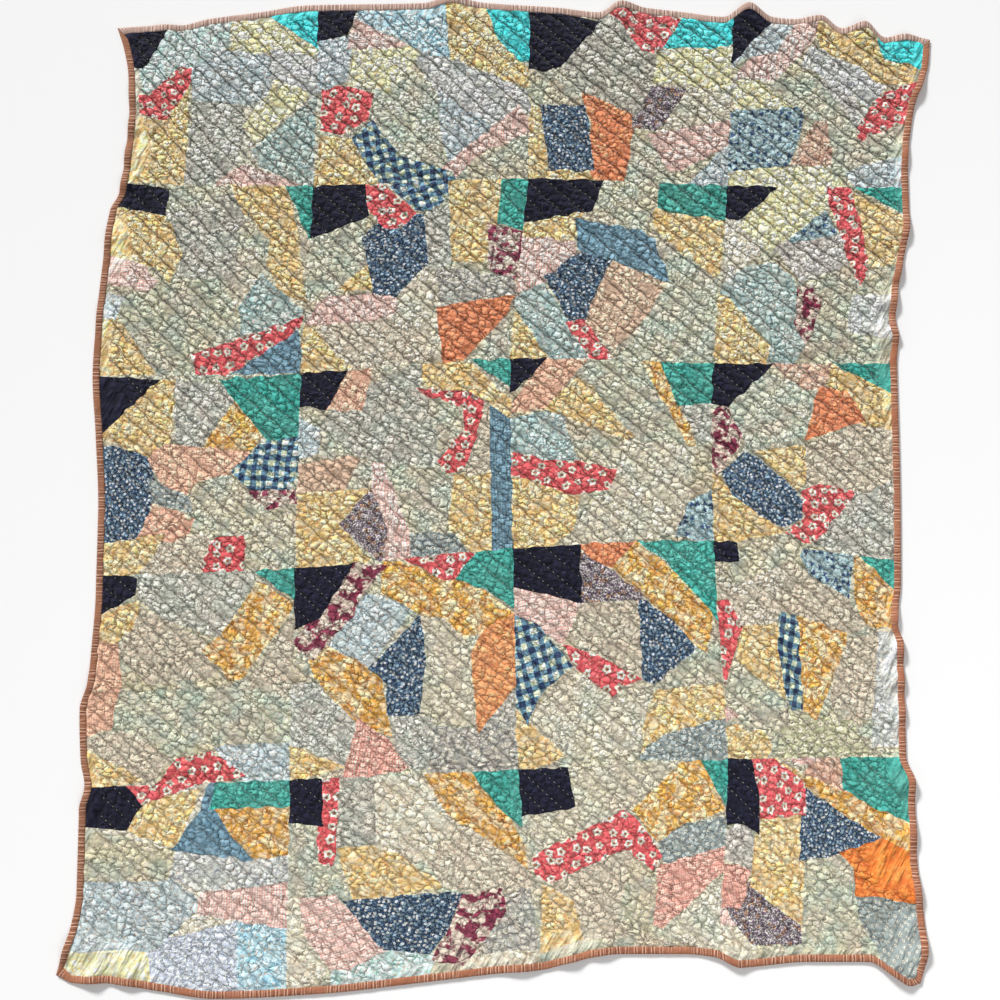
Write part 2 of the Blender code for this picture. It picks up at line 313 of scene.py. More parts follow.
def from_edge(net):
    """How far inside its cell each point of the net is, read by Blender's own texture."""
    mesh = bpy.data.meshes.new("net")
    mesh.vertices.add(len(net))
    mesh.vertices.foreach_set("co", np.column_stack([net, np.zeros(len(net))]).ravel())
    reader = bpy.data.objects.new("net", mesh)
    bpy.context.scene.collection.objects.link(reader)
    reader.modifiers.new("read", "NODES").node_group = net_reader
    found = reader.evaluated_get(bpy.context.evaluated_depsgraph_get()).data
    edge = np.empty(len(net), np.float32)
    found.attributes["edge"].data.foreach_get("value", edge)
    bpy.data.objects.remove(reader)
    bpy.data.meshes.remove(mesh)
    return edge


net_reader = make_net_reader()
print("nearest crease:", np.round(from_edge(net_at(CORNERS[1, 1:4])), 2), "puffs away")


# %% Height of the face
STITCH_HEIGHT, PUFF_HEIGHT, TUCK_HEIGHT = 2.2 * MM, 8.4 * MM, 4.1 * MM
PLAIN_EDGE, EDGE_VARIES, FADE_IN = 13, 11, 18  # mm of unquilted border, and of fading in
BORDER_HEIGHT, FOLD_HEIGHT, FOLD_REACH = 5.2, 1.5, 45  # mm
TUCK_FROM, TUCK_OVER = 11, 7  # mm from the edge, where the face dips under the binding
FULLNESS = 2.2  # how square-shouldered a puff is
CREASE_REACH, CREASE_DEPTH = 0.36, 0.75  # in puffs, and as a share of a puff's height
SPOT_FROM, SPOT_OVER = 0.6, 0.5  # shares of a loose spot's size, where quilting fades in


def off_whole(t):
    """0 at a whole number, 1 half-way between two."""
    return 2 * abs(t - np.round(t))


def face_height(points, beside, under, row, net):
    """(height of the face, depth of its creases, how far it is quilted) for points that
    far in from the nearer side edge and from the nearer end edge."""
    inset = np.minimum(beside, under) / MM
    start = PLAIN_EDGE + EDGE_VARIES * np.clip(drift(points, 0.2, 23), -0.6, 1)
    spots = [
        np.hypot(*((points - (x * CM, y * CM)) / (wide * CM, high * CM)).T)
        for x, y, wide, high in UNQUILTED
    ]
    not_loose = ease((np.min(spots, 0) - SPOT_FROM) / SPOT_OVER)
    kept = ease((inset - start) / FADE_IN) * not_loose
    domed = 1 - (1 - np.clip(from_edge(net) / CREASE_REACH, 0, 1)) ** FULLNESS
    pulled = 1 - (1 - off_whole(row)) ** FULLNESS
    deep = np.clip(0.7 + 0.35 * drift(points, 0.03, 11), 0.25, 1.0)
    rise = pulled * (1 - CREASE_DEPTH * deep * (1 - domed)) + 0.1 * domed
    quilted = STITCH_HEIGHT + (PUFF_HEIGHT - STITCH_HEIGHT) * rise
    quilted += (0.25 * drift(points, 0.014, 13) + 0.6 * drift(points, 0.06, 17)) * MM
    folds = np.exp(-beside / (FOLD_REACH * MM)) * drift(points * (0.25, 1), 0.016, 19)
    folds += np.exp(-under / (FOLD_REACH * MM)) * drift(points * (1, 0.25), 0.016, 21)
    border = (BORDER_HEIGHT + FOLD_HEIGHT * folds + 0.9 * drift(points, 0.05, 25)) * MM
    tucked = ease((inset - TUCK_FROM) / TUCK_OVER)
    height = border + (quilted - border) * kept
    return TUCK_HEIGHT + (height - TUCK_HEIGHT) * tucked + lifted(points), deep * kept, kept


some = np.random.default_rng(1).uniform(-0.6, 0.6, (2000, 2))
well_in = np.full(2000, 0.2)
some_height = face_height(some, well_in, well_in, row_at(some), net_at(some))[0]
print("face stands", np.round(np.percentile(some_height / MM, (1, 50, 99)), 1), "mm high")

# %% [markdown]
# ## 3. Cotton prints
# The scraps are dress and shirt cottons, printed all over with small repeats. A picture
# of each cloth could be wrapped on, but a pattern made of nodes is sharp at any distance,
# and one function makes many colourways. It is laid over the cloth's own flat measure,
# the map `cut`, which turns with the grain of the scrap. The crumple of washed cotton and
# the pull of the stitches are the same for all of them, so they come last, in `wash`.


# %% Colour and cloth
def paint(hex_colour):
    """A screen colour as the linear light that a shader mixes."""
    parts = [int(hex_colour[k:k + 2], 16) / 255 for k in (0, 2, 4)]
    light = [p / 12.92 if p <= 0.04045 else ((p + 0.055) / 1.055) ** 2.4 for p in parts]
    return (*light, 1.0)


class Cloth:
    """One material as it is built up. `add` puts in a node and gives back what it makes."""

    def __init__(self, name, rough=0.88):
        self.material = bpy.data.materials.new(name)
        self.material.use_nodes = True
        self.tree = self.material.node_tree
        self.shader = self.tree.nodes["Principled BSDF"]
        self.shader.inputs["Roughness"].default_value = rough
        self.shader.inputs["Specular IOR Level"].default_value = 0.25
        self.shader.inputs["Sheen Weight"].default_value = 0.1
        self.cut = self.add("UVMap", uv_map="cut")
        self.place = self.add("TexCoord", out="Object")

    def add(self, kind, *values, out=0, **settings):
        """A node of that kind, or "kind HOW". Values go to its sockets in order, or by name,
        and a text is a screen colour."""
        kind, *how = kind.split()
        made = self.tree.nodes.new("ShaderNode" + kind)
        for setting in how:
            setattr(made, "data_type" if kind == "Mix" else "operation", setting)
        for setting, value in settings.items():
            setattr(made, setting, value)
        named = values[0] if values and isinstance(values[0], dict) else {}
        plain = () if named else zip([s for s in made.inputs if s.enabled], values)
        for socket, value in [*plain, *((made.inputs[k], v) for k, v in named.items())]:
            if isinstance(value, bpy.types.NodeSocket):
                self.tree.links.new(value, socket)
            else:
                socket.default_value = paint(value) if isinstance(value, str) else value
        return made.outputs[out] if out else next(s for s in made.outputs if s.enabled)

    def end(self, colour, height=None):
        """Links the finished colour and any relief, in metres, to the shader."""
        self.tree.links.new(colour, self.shader.inputs["Base Color"])
        if height is not None:
            bump = self.add("Bump", {"Strength": 1.0, "Distance": 1.0, "Height": height})
            self.tree.links.new(bump, self.shader.inputs["Normal"])
        return self.material


print("cream as light:", [round(part, 2) for part in paint("DFD6BC")[:3]])


# %% Blots, sprigs, stripes and scribbles
FLAT = {"noise_dimensions": "2D"}  # cloth is flat, so its noise can be flat too, and is quick


def blots(c, size, cover=0.5, soft=0.06, on=None, detail=2.0):
    """Random blots of about that size in mm, over that share of the cloth."""
    at = c.add("VectorMath SCALE", {0: on or c.cut, 3: 1000 / size})
    noise = c.add("TexNoise", {"Vector": at, "Scale": 1.0, "Detail": detail}, **FLAT)
    middle = 0.5 + (0.5 - cover) * 0.42
    return c.add("MapRange", noise, middle - soft, middle + soft)


def sprigs(c, pitch, size, petals=5, loose=0.4, eye=0.3, plump=0.8):
    """Small flowers, one a pitch in mm: (petals, eyes, a random number for each)."""
    at = c.add("VectorMath SCALE", {0: c.cut, 3: 1000 / pitch})
    cell = c.add(
        "TexVoronoi", {"Vector": at, "Scale": 1.0, "Randomness": loose}, voronoi_dimensions="2D"
    ).node.outputs
    away = c.add("VectorMath SUBTRACT", at, cell["Position"])
    x, y, _ = c.add("SeparateXYZ", away).node.outputs
    luck, turn, _ = c.add("SeparateXYZ", cell["Color"]).node.outputs
    angle = c.add("Math MULTIPLY_ADD", turn, 6.28, c.add("Math ARCTAN2", y, x))
    wave = c.add("Math COSINE", c.add("Math MULTIPLY", angle, float(petals)))
    reach = c.add("Math MULTIPLY_ADD", wave, (1 - plump) * size, plump * size)
    far = cell["Distance"]
    shown = c.add("Math SUBTRACT", reach, far)
    shown = c.add("Math MULTIPLY", shown, 14.0, use_clamp=True)
    middle = c.add("Math SUBTRACT", eye * size, far)
    middle = c.add("Math MULTIPLY", middle, 18.0, use_clamp=True)
    return shown, middle, luck


def lines(c, pitch, share, way=0, soft=0.06):
    """Woven stripes over that share of each pitch in mm, across the cut (0) or along it (1)."""
    far = c.add("SeparateXYZ", c.cut).node.outputs[way]
    at = c.add("Math FRACT", c.add("Math MULTIPLY", far, 1000 / pitch))
    off = c.add("Math ABSOLUTE", c.add("Math SUBTRACT", at, 0.5))
    return c.add("MapRange", off, share / 2 + soft, share / 2 - soft)


def scribble(c, size, width):
    """Fine looping lines, loops of about that size in mm."""
    at = c.add("VectorMath SCALE", {0: c.cut, 3: 1000 / size})
    look = {"Vector": at, "Scale": 1.0, "Detail": 1.0, "Distortion": 0.8}
    hills = c.add("TexNoise", look, **FLAT)
    off = c.add("Math PINGPONG", c.add("Math MULTIPLY", hills, 5.0), 0.5)
    return c.add("MapRange", off, width, width * 0.3)


def over(c, share, under, top, much=1.0):
    """Prints a colour over another where share is 1."""
    if much < 1:
        share = c.add("Math MULTIPLY", share, much)
    return c.add("Mix RGBA", share, under, top)


def names(*made):
    return ", ".join(m.__name__ for m in made)


print("patterns:", names(blots, sprigs, lines, scribble))


# %% Plains and small sprigs
def plain(c, ground, worn):
    return over(c, blots(c, 9, 0.35, 0.12), ground, worn)


def calico(c, ground, spot, second):
    petals, eye, luck = sprigs(c, 7.5, 0.4, 5, 0.9)
    dots, _, _ = sprigs(c, 3.6, 0.3, 4, 0.9)
    tone = over(c, c.add("Math GREATER_THAN", luck, 0.45), spot, second)
    colour = over(c, dots, ground, second, 0.7)
    return over(c, eye, over(c, petals, colour, tone), ground)


def posies(c, ground, petal, eye, leaf, pitch=27.0, size=0.36):
    petals, middle, _ = sprigs(c, pitch, size, 5, 0.5, 0.42, 0.88)
    heart, _, _ = sprigs(c, pitch, size * 0.2, 5, 0.3)
    small, _, _ = sprigs(c, pitch * 0.4, 0.26, 4, 0.9)
    colour = over(c, small, ground, leaf, 0.5)
    colour = over(c, middle, over(c, petals, colour, petal), eye)
    return over(c, heart, colour, petal, 0.5)


def mottled(c, ground, pale, deep, size=16.0):
    colour = over(c, blots(c, size, 0.45, 0.04), ground, pale)
    colour = over(c, blots(c, size * 0.55, 0.34, 0.03, detail=3.0), colour, deep, 0.8)
    return over(c, blots(c, size * 0.3, 0.3, 0.04), colour, pale, 0.7)


def leafy(c, ground, pale, vein, warm="E6D8CC", size=15.0):
    colour = over(c, blots(c, size * 1.5, 0.5, 0.08), ground, pale, 0.8)
    sprig, _, luck = sprigs(c, size * 0.75, 0.38, 3, 0.9)
    tone = over(c, c.add("Math GREATER_THAN", luck, 0.55), pale, warm)
    colour = over(c, sprig, colour, tone, 0.9)
    some = c.add("Math MULTIPLY", scribble(c, size, 0.16), blots(c, size * 1.3, 0.6, 0.06))
    colour = over(c, some, colour, vein, 0.9)
    return over(c, blots(c, size * 0.35, 0.3, 0.04), colour, vein, 0.55)


def ringed(c, ground, dot, ring, pitch=6.5):
    petals, eye, luck = sprigs(c, pitch, 0.42, 6, 0.8, 0.5)
    tone = over(c, c.add("Math GREATER_THAN", luck, 0.4), ring, dot)
    colour = over(c, blots(c, 4, 0.25, 0.04), ground, ring, 0.5)
    return over(c, eye, over(c, petals, colour, tone), ground)


print("small prints:", names(plain, calico, posies, mottled, leafy, ringed))


# %% Checks and plaids
def gingham(c, light, middle, dark, pitch=22.0):
    one, two = lines(c, pitch, 0.5, 0, 0.03), lines(c, pitch, 0.5, 1, 0.03)
    colour = over(c, c.add("Math MAXIMUM", one, two), light, middle)
    return over(c, c.add("Math MULTIPLY", one, two), colour, dark)


def checked(c, ground, line, pitch=5.0, share=0.34, much=0.7):
    one, two = lines(c, pitch, share, 0), lines(c, pitch, share, 1)
    colour = over(c, lines(c, pitch * 4, 0.3, 0, 0.1), ground, line, much * 0.4)
    colour = over(c, one, colour, line, much)
    return over(c, two, colour, line, much * 0.8)


def plaid(c, ground, dark, accent, pitch=16.0):
    one, two = lines(c, pitch, 0.4, 0, 0.04), lines(c, pitch * 1.3, 0.3, 1, 0.04)
    colour = over(c, one, ground, dark, 0.6)
    colour = over(c, two, colour, dark, 0.6)
    petals, _, _ = sprigs(c, pitch * 1.4, 0.26, 5, 0.5)
    return over(c, petals, colour, accent)


print("checks:", names(gingham, checked, plaid))


# %% Larger flowers
def roses(c, ground, petal, dark, pitch=15.0):
    colour = over(c, blots(c, pitch * 0.6, 0.42, 0.04), ground, petal, 0.8)
    colour = over(c, blots(c, pitch * 0.3, 0.3, 0.04), colour, "E6EEF0", 0.7)
    petals, _, luck = sprigs(c, pitch, 0.42, 3, 0.8)
    some = c.add("Math GREATER_THAN", luck, 0.45)
    return over(c, c.add("Math MULTIPLY", petals, some), colour, dark, 0.9)


def confetti(c, ground, pale, warm, pitch=10.0):
    petals, eye, luck = sprigs(c, pitch, 0.46, 4, 0.8, 0.6)
    colour = over(c, blots(c, 5, 0.3, 0.04), ground, pale, 0.55)
    tone = over(c, c.add("Math GREATER_THAN", luck, 0.7), pale, warm)
    return over(c, eye, over(c, petals, colour, tone, 0.8), ground, 0.9)


def big_flowers(c, ground, petal, outline, size=42.0):
    at = c.add("VectorMath SCALE", {0: c.cut, 3: 1000 / size})
    look = {"Vector": at, "Scale": 1.0, "Detail": 1.0, "Distortion": 1.2}
    swirl = c.add("TexNoise", look, **FLAT)
    ring = c.add("Math FRACT", c.add("Math MULTIPLY", swirl, 7.0))
    edge = c.add("Math GREATER_THAN", ring, 0.8)
    some = c.add("Math MULTIPLY", edge, blots(c, size, 0.62, 0.04))
    colour = over(c, blots(c, size * 0.5, 0.46, 0.03), ground, petal)
    colour = over(c, some, colour, outline, 0.85)
    return over(c, blots(c, size * 0.2, 0.24, 0.04), colour, petal, 0.7)


print("larger prints:", names(roses, confetti, big_flowers))

# %% The scrap bag
# Quilting cotton is a plain weave with no shine, so the eye sees only its colour, its
# print and its puckers. Its threads are a quarter of a millimetre apart, too fine to show
# from here, so they are left out. The dark plains are deep and even, the small prints read
# as speckle, and the pale ones have bleached until their leaves are only shadows.
COTTONS = {  # code in the cutting list: name, print, its colours, how far it has faded
    "nv": ("navy", plain, ("161629", "202139"), 0.0),
    "tl": ("teal", plain, ("37A294", "50B5A8"), 0.1),
    "tb": ("bright_teal", plain, ("38E1E5", "66F8F9"), 0.1),
    "or": ("orange", plain, ("E8895C", "F6A27B"), 0.05),
    "ob": ("bright_orange", plain, ("FC8031", "FF9446"), 0.05),
    "of": ("faded_orange", plain, ("FFA368", "FFBB83"), 0.1),
    "ch": ("chambray", plain, ("6A93A8", "8CB0C1"), 0.1),
    "tn": ("tan", plain, ("DFBB9E", "EBCAB1"), 0.1),
    "sn": ("salmon", plain, ("F0B296", "FDD0B4"), 0.1),
    "ca": ("navy_calico", calico, ("324865", "FFFFF7", "A0BAC5"), 0.0),
    "rd": ("red_posies", posies, ("EB6066", "FFFFEA", "A87257", "FFB69A"), 0.05),
    "gg": ("blue_gingham", gingham, ("F0FCD6", "6992A8", "223860"), 0.05),
    "bc": ("blue_check", checked, ("91ADB5", "57809A", 5.5, 0.4), 0.0),
    "pc": ("pink_check", checked, ("FFF2E6", "F29F90"), 0.1),
    "sc": ("salmon_check", checked, ("FFD3BF", "E98174"), 0.1),
    "pe": ("peach_check", checked, ("FFD7B8", "EDA085"), 0.1),
    "cd": ("cream_rings", ringed, ("E9DFC6", "745C55", "C0947F"), 0.2),
    "wd": ("white_dots", ringed, ("E5E9EB", "748FBD", "97AED2", 7.0), 0.1),
    "br": ("blue_roses", roses, ("AAC2C3", "6F9FAC", "264172"), 0.0),
    "db": ("dusty_blue_posies", posies, ("9BA7A6", "EFE8D3", "77858C", "BDC3B9", 12.0, 0.3), 0.1),
    "pp": ("purple_confetti", confetti, ("746373", "FEFCED", "FEBD5C"), 0.0),
    "bu": ("burgundy_flowers", big_flowers, ("EBD9C6", "913651", "541C34"), 0.05),
    "sg": ("sage_leaves", leafy, ("D8CEAC", "F5E6C1", "9FA182"), 0.8),
    "sa": ("green_leaves", leafy, ("D1D3B8", "F7EFCC", "96A797"), 0.8),
    "gl": ("grey_leaves", leafy, ("C3C4B4", "F4F0DF", "767876"), 0.4),
    "gp": ("grey_plaid", plaid, ("CBC3B5", "91918E", "F7EED6"), 0.3),
    "gm": ("grey_mauve", leafy, ("CAC5BD", "FFF8E7", "877F85"), 0.3),
    "yf": ("yellow_sprigs", mottled, ("F6CE7F", "FFEABC", "E3A354"), 0.25),
    "yl": ("lemon_sprigs", mottled, ("FFFFBB", "FFFFE6", "FFDB8C"), 0.3),
    "gf": ("gold_sprigs", mottled, ("ECB151", "FCDEAE", "D48A3B", 26.0), 0.1),
    "wc": ("warm_white", leafy, ("FFF3D5", "FFFFEC", "D4BD9E"), 0.3),
    "cr": ("cream", leafy, ("EAE0C1", "FCF2DA", "B0A991"), 0.5),
    "pb": ("pale_blue", leafy, ("C7D9DE", "EEFAF7", "8FA4B1"), 0.3),
    "lw": ("lilac_white", leafy, ("DADDD8", "F9FBED", "9EA1AF"), 0.3),
    "aq": ("aqua", leafy, ("AEC9C7", "D7E6DC", "779E9E"), 0.4),
    "la": ("light_aqua", leafy, ("BAEBFF", "EBFFFF", "80C0DB"), 0.3),
    "mt": ("mint", leafy, ("DFFFFD", "FFFFFF", "9DDCC6"), 0.3),
    "pk": ("dusty_pink", leafy, ("E7B59B", "F8D2B6", "B8806A"), 0.3),
    "pu": ("green_sprigs", posies, ("C8C79F", "F6ECD9", "B3A978", "DCDABC", 16.0), 0.2),
}


print(len({row[1] for row in COTTONS.values()}), "prints in", len(COTTONS), "colourways")


# %% Fading
def fade(c, colour, faded, scrap):
    """Sun and washing leave pale patches, warmer on some scraps and cooler on others."""
    tone = over(c, scrap, "DDD3AE", "A9BDBA")
    for size, cover, soft, detail, tint in (
        (110, 0.5, 0.25, 1.0, tone),
        (64, 0.42, 0.14, 2.0, "CDB4A8"),
        (47, 0.36, 0.12, 2.0, "A8C8BE"),
    ):
        patch = blots(c, size, cover, soft, c.place, detail)
        colour = over(c, patch, colour, tint, 0.5 * faded)
    return colour


print("most faded:", [row[0] for row in COTTONS.values() if row[3] > 0.4])


# %% Puckers
# the dark lines are painted shade along the rows of stitches, the creases and the crumple
ROW_SHADE_WIDTH, CREASE_SHADE_WIDTH, CRUMPLE_SHADE_WIDTH = 0.085, 0.095, 0.17  # half-widths of the dark lines
WAVER, CRUMPLE, SWELL = 8 * MM, 10.5 * MM, 13 * MM        # usual sizes of each
SLACK_FOLD = (17 * MM, 70 * MM, 1.0)                      # width and length of one
SLACK_TURN = (0.0, 0.0, -0.5)


def edges(c, at, loose):
    """How far each point of a net is from the edge of its cell, in cells."""
    net = {"Vector": at, "Scale": 1.0, "Randomness": loose}
    return c.add("TexVoronoi", net, feature="DISTANCE_TO_EDGE", voronoi_dimensions="2D")


def puckers(c, scrap, kept, loft):
    """(rows of stitches, painted shade in the rows and creases, puffs, crumple), each 0 to 1."""
    net = c.add("Attribute", out="Vector", attribute_name="net")
    row = c.add("Attribute", out="Fac", attribute_name="row")
    deep = c.add("SeparateXYZ", net).node.outputs[2]
    at = c.add("VectorMath SCALE", {0: c.place, 3: 1 / WAVER})
    waver = c.add("TexNoise", {"Vector": at, "Scale": 1.0, "Detail": 1.0}, out="Color", **FLAT)
    waver = c.add("VectorMath SUBTRACT", waver, (0.5, 0.5, 0.5))
    sideways = c.add("SeparateXYZ", waver).node.outputs[0]
    near = c.add("Math PINGPONG", c.add("Math MULTIPLY_ADD", sideways, 0.2, row), 0.5)
    # painted shade along each row of stitches; the same line also sinks the relief there
    line = c.add("Math MULTIPLY", c.add("MapRange", near, ROW_SHADE_WIDTH, 0.0, 0.0, 0.95), kept)
    line = c.add("Math MULTIPLY", line, loft, use_clamp=True)
    edge = edges(c, c.add("VectorMath MULTIPLY_ADD", waver, (0.6, 0.8, 0.0), net), NET_LOOSE)
    # painted shade in the creases between the puffs
    fold = c.add("Math MULTIPLY", c.add("MapRange", edge, CREASE_SHADE_WIDTH, 0.0), deep)
    puff = c.add("Math POWER", c.add("MapRange", edge, 0.0, 0.28), 0.5)
    puff = c.add("Math MULTIPLY", puff, c.add("MapRange", near, 0.02, 0.2, 0.35, 1.0))
    puff = c.add("Math MULTIPLY", puff, deep)
    # thin cloth crumples between the creases too, some scraps more than others
    at = c.add("VectorMath SCALE", {0: c.place, 3: 1 / CRUMPLE})
    small = edges(c, c.add("VectorMath MULTIPLY_ADD", waver, (0.9, 0.9, 0.0), at), 1.0)
    thin = c.add("MapRange", scrap, 0.0, 1.0, 0.35, 1.0)
    soft = c.add("Math MULTIPLY", blots(c, 45, 0.55, 0.1, c.place, 0.0), thin)
    soft = c.add("Math MULTIPLY", soft, kept)
    crumple = c.add("Math MULTIPLY", c.add("MapRange", small, 0.0, 0.35), soft)
    # painted shade along the small crumple creases
    tiny = c.add("Math MULTIPLY", c.add("MapRange", small, CRUMPLE_SHADE_WIDTH, 0.0, 0.0, 0.5), soft)
    fine = c.add("Math MULTIPLY", c.add("Math MAXIMUM", fold, tiny), 0.9)
    return line, c.add("Math MAXIMUM", line, fine), puff, crumple


print("a row's dark line:", round(2 * ROW_SHADE_WIDTH * ROW_GAP / MM, 1), "mm wide")


# %% Wash, wear, painted shade and highlight
# the loft also sets how strong the painted shade and highlight are, so they are stronger towards
# the upper end
LOFT = (0.64, 1.3)            # how full the filling has stayed, at the lower and upper end
# painted shade in the valleys; on the puff tops, paler colour that is partly wear and partly
# painted highlight
PAINTED_LIGHT_AND_WEAR = (0.66, 1.5)            # how bright the valleys and the tops of the puffs are
# how much the painted shade darkens the rows and creases
PAINTED_CREASE_SHADE = 0.75
SCRAP_TONES = (0.93, 1.05)    # the darkest and the lightest scrap of one cloth
WHITEST = (0.88, 0.88, 0.88)  # no cloth is whiter
SWELL_HIGH, SLACK_HIGH = 3.2 * MM, 4.5 * MM
CRUMPLE_HIGH, ROW_HIGH, PUFF_HIGH = 2.3 * MM, -0.8 * MM, 2.8 * MM


def wash(c, colour, faded):
    """Fading, the pull of the stitches, crumple, wear, and painted shade and highlight, over any
    print.
    """
    scrap = c.add("Attribute", out="Fac", attribute_name="scrap")
    kept = c.add("Attribute", out="Fac", attribute_name="kept")
    if faded:
        colour = fade(c, colour, faded, scrap)
    up = c.add("SeparateXYZ", c.place).node.outputs[1]
    loft = c.add("MapRange", up, -0.9, 0.9, *LOFT)
    # the cloth turns down into each row of stitches and each crease, where its shade is painted
    # dark
    line, painted_crease_shade, puff, crumple = puckers(c, scrap, kept, loft)
    # where it is not quilted the cloth lies slack, in long folds
    at = {"Vector": c.place, "Rotation": SLACK_TURN, "Scale": SLACK_FOLD}
    at = c.add("Mapping", at, vector_type="TEXTURE")
    slack = c.add("TexNoise", {"Vector": at, "Scale": 1.0}, **FLAT)
    slack = c.add("MapRange", slack, 0.32, 0.68)
    slack = c.add("Math MULTIPLY", slack, c.add("Math SUBTRACT", 1.0, kept))
    # puff and slack-fold tops are painted paler, valleys darker: partly wear, partly painted
    # highlight and shade
    top = c.add("Math MULTIPLY", c.add("Math ADD", puff, crumple), 0.5)
    top = c.add("Math MULTIPLY_ADD", slack, 0.6, top)
    worn = c.add("MapRange", top, 0.05, 0.62, *PAINTED_LIGHT_AND_WEAR)
    worn = c.add("Math MULTIPLY_ADD", c.add("Math SUBTRACT", worn, 1.0), loft, 1.0)
    # the colour is darkened by the painted shade in the rows and creases
    dark = c.add("Math MULTIPLY_ADD", painted_crease_shade, -PAINTED_CREASE_SHADE, 1.0)
    dark = c.add("Math MULTIPLY", dark, worn)
    dark = c.add("Math MULTIPLY", dark, c.add("MapRange", scrap, 0.0, 1.0, *SCRAP_TONES))
    colour = c.add("VectorMath SCALE", {0: colour, 3: dark})
    colour = c.add("VectorMath MINIMUM", colour, WHITEST)
    at = c.add("VectorMath SCALE", {0: c.place, 3: 1 / SWELL})
    look = {"Vector": at, "Scale": 1.0, "Detail": 1.6, "Distortion": 0.5}
    height = c.add("Math MULTIPLY", c.add("TexNoise", look, **FLAT), SWELL_HIGH)
    for relief, metres in ((crumple, CRUMPLE_HIGH), (line, ROW_HIGH), (puff, PUFF_HIGH)):
        height = c.add("Math MULTIPLY_ADD", relief, metres, height)
    height = c.add("Math MULTIPLY", height, loft)
    return c.end(colour, c.add("Math MULTIPLY_ADD", slack, SLACK_HIGH, height))


def make_cotton(code):
    name, pattern, colours, faded = COTTONS[code]
    c = Cloth("cotton_" + name)
    return wash(c, pattern(c, *colours), faded)


cottons = {code: make_cotton(code) for code in COTTONS}
print(len(cottons), "cottons in the scrap bag")

# %% [markdown]
# ## 4. The cutting list
# A crazy block is sewn on to a square foundation, scrap over scrap. Chance could place the
# scraps, but a quilt is known by its layout, so this one is written out. Each scrap is a
# code for its cloth and the corners of its outline in block units, fortieths of a block
# across and down from the block's top left corner. The first covers the block, so it needs
# no corners. Later scraps lie over earlier ones, and what passes the edge is trimmed off.

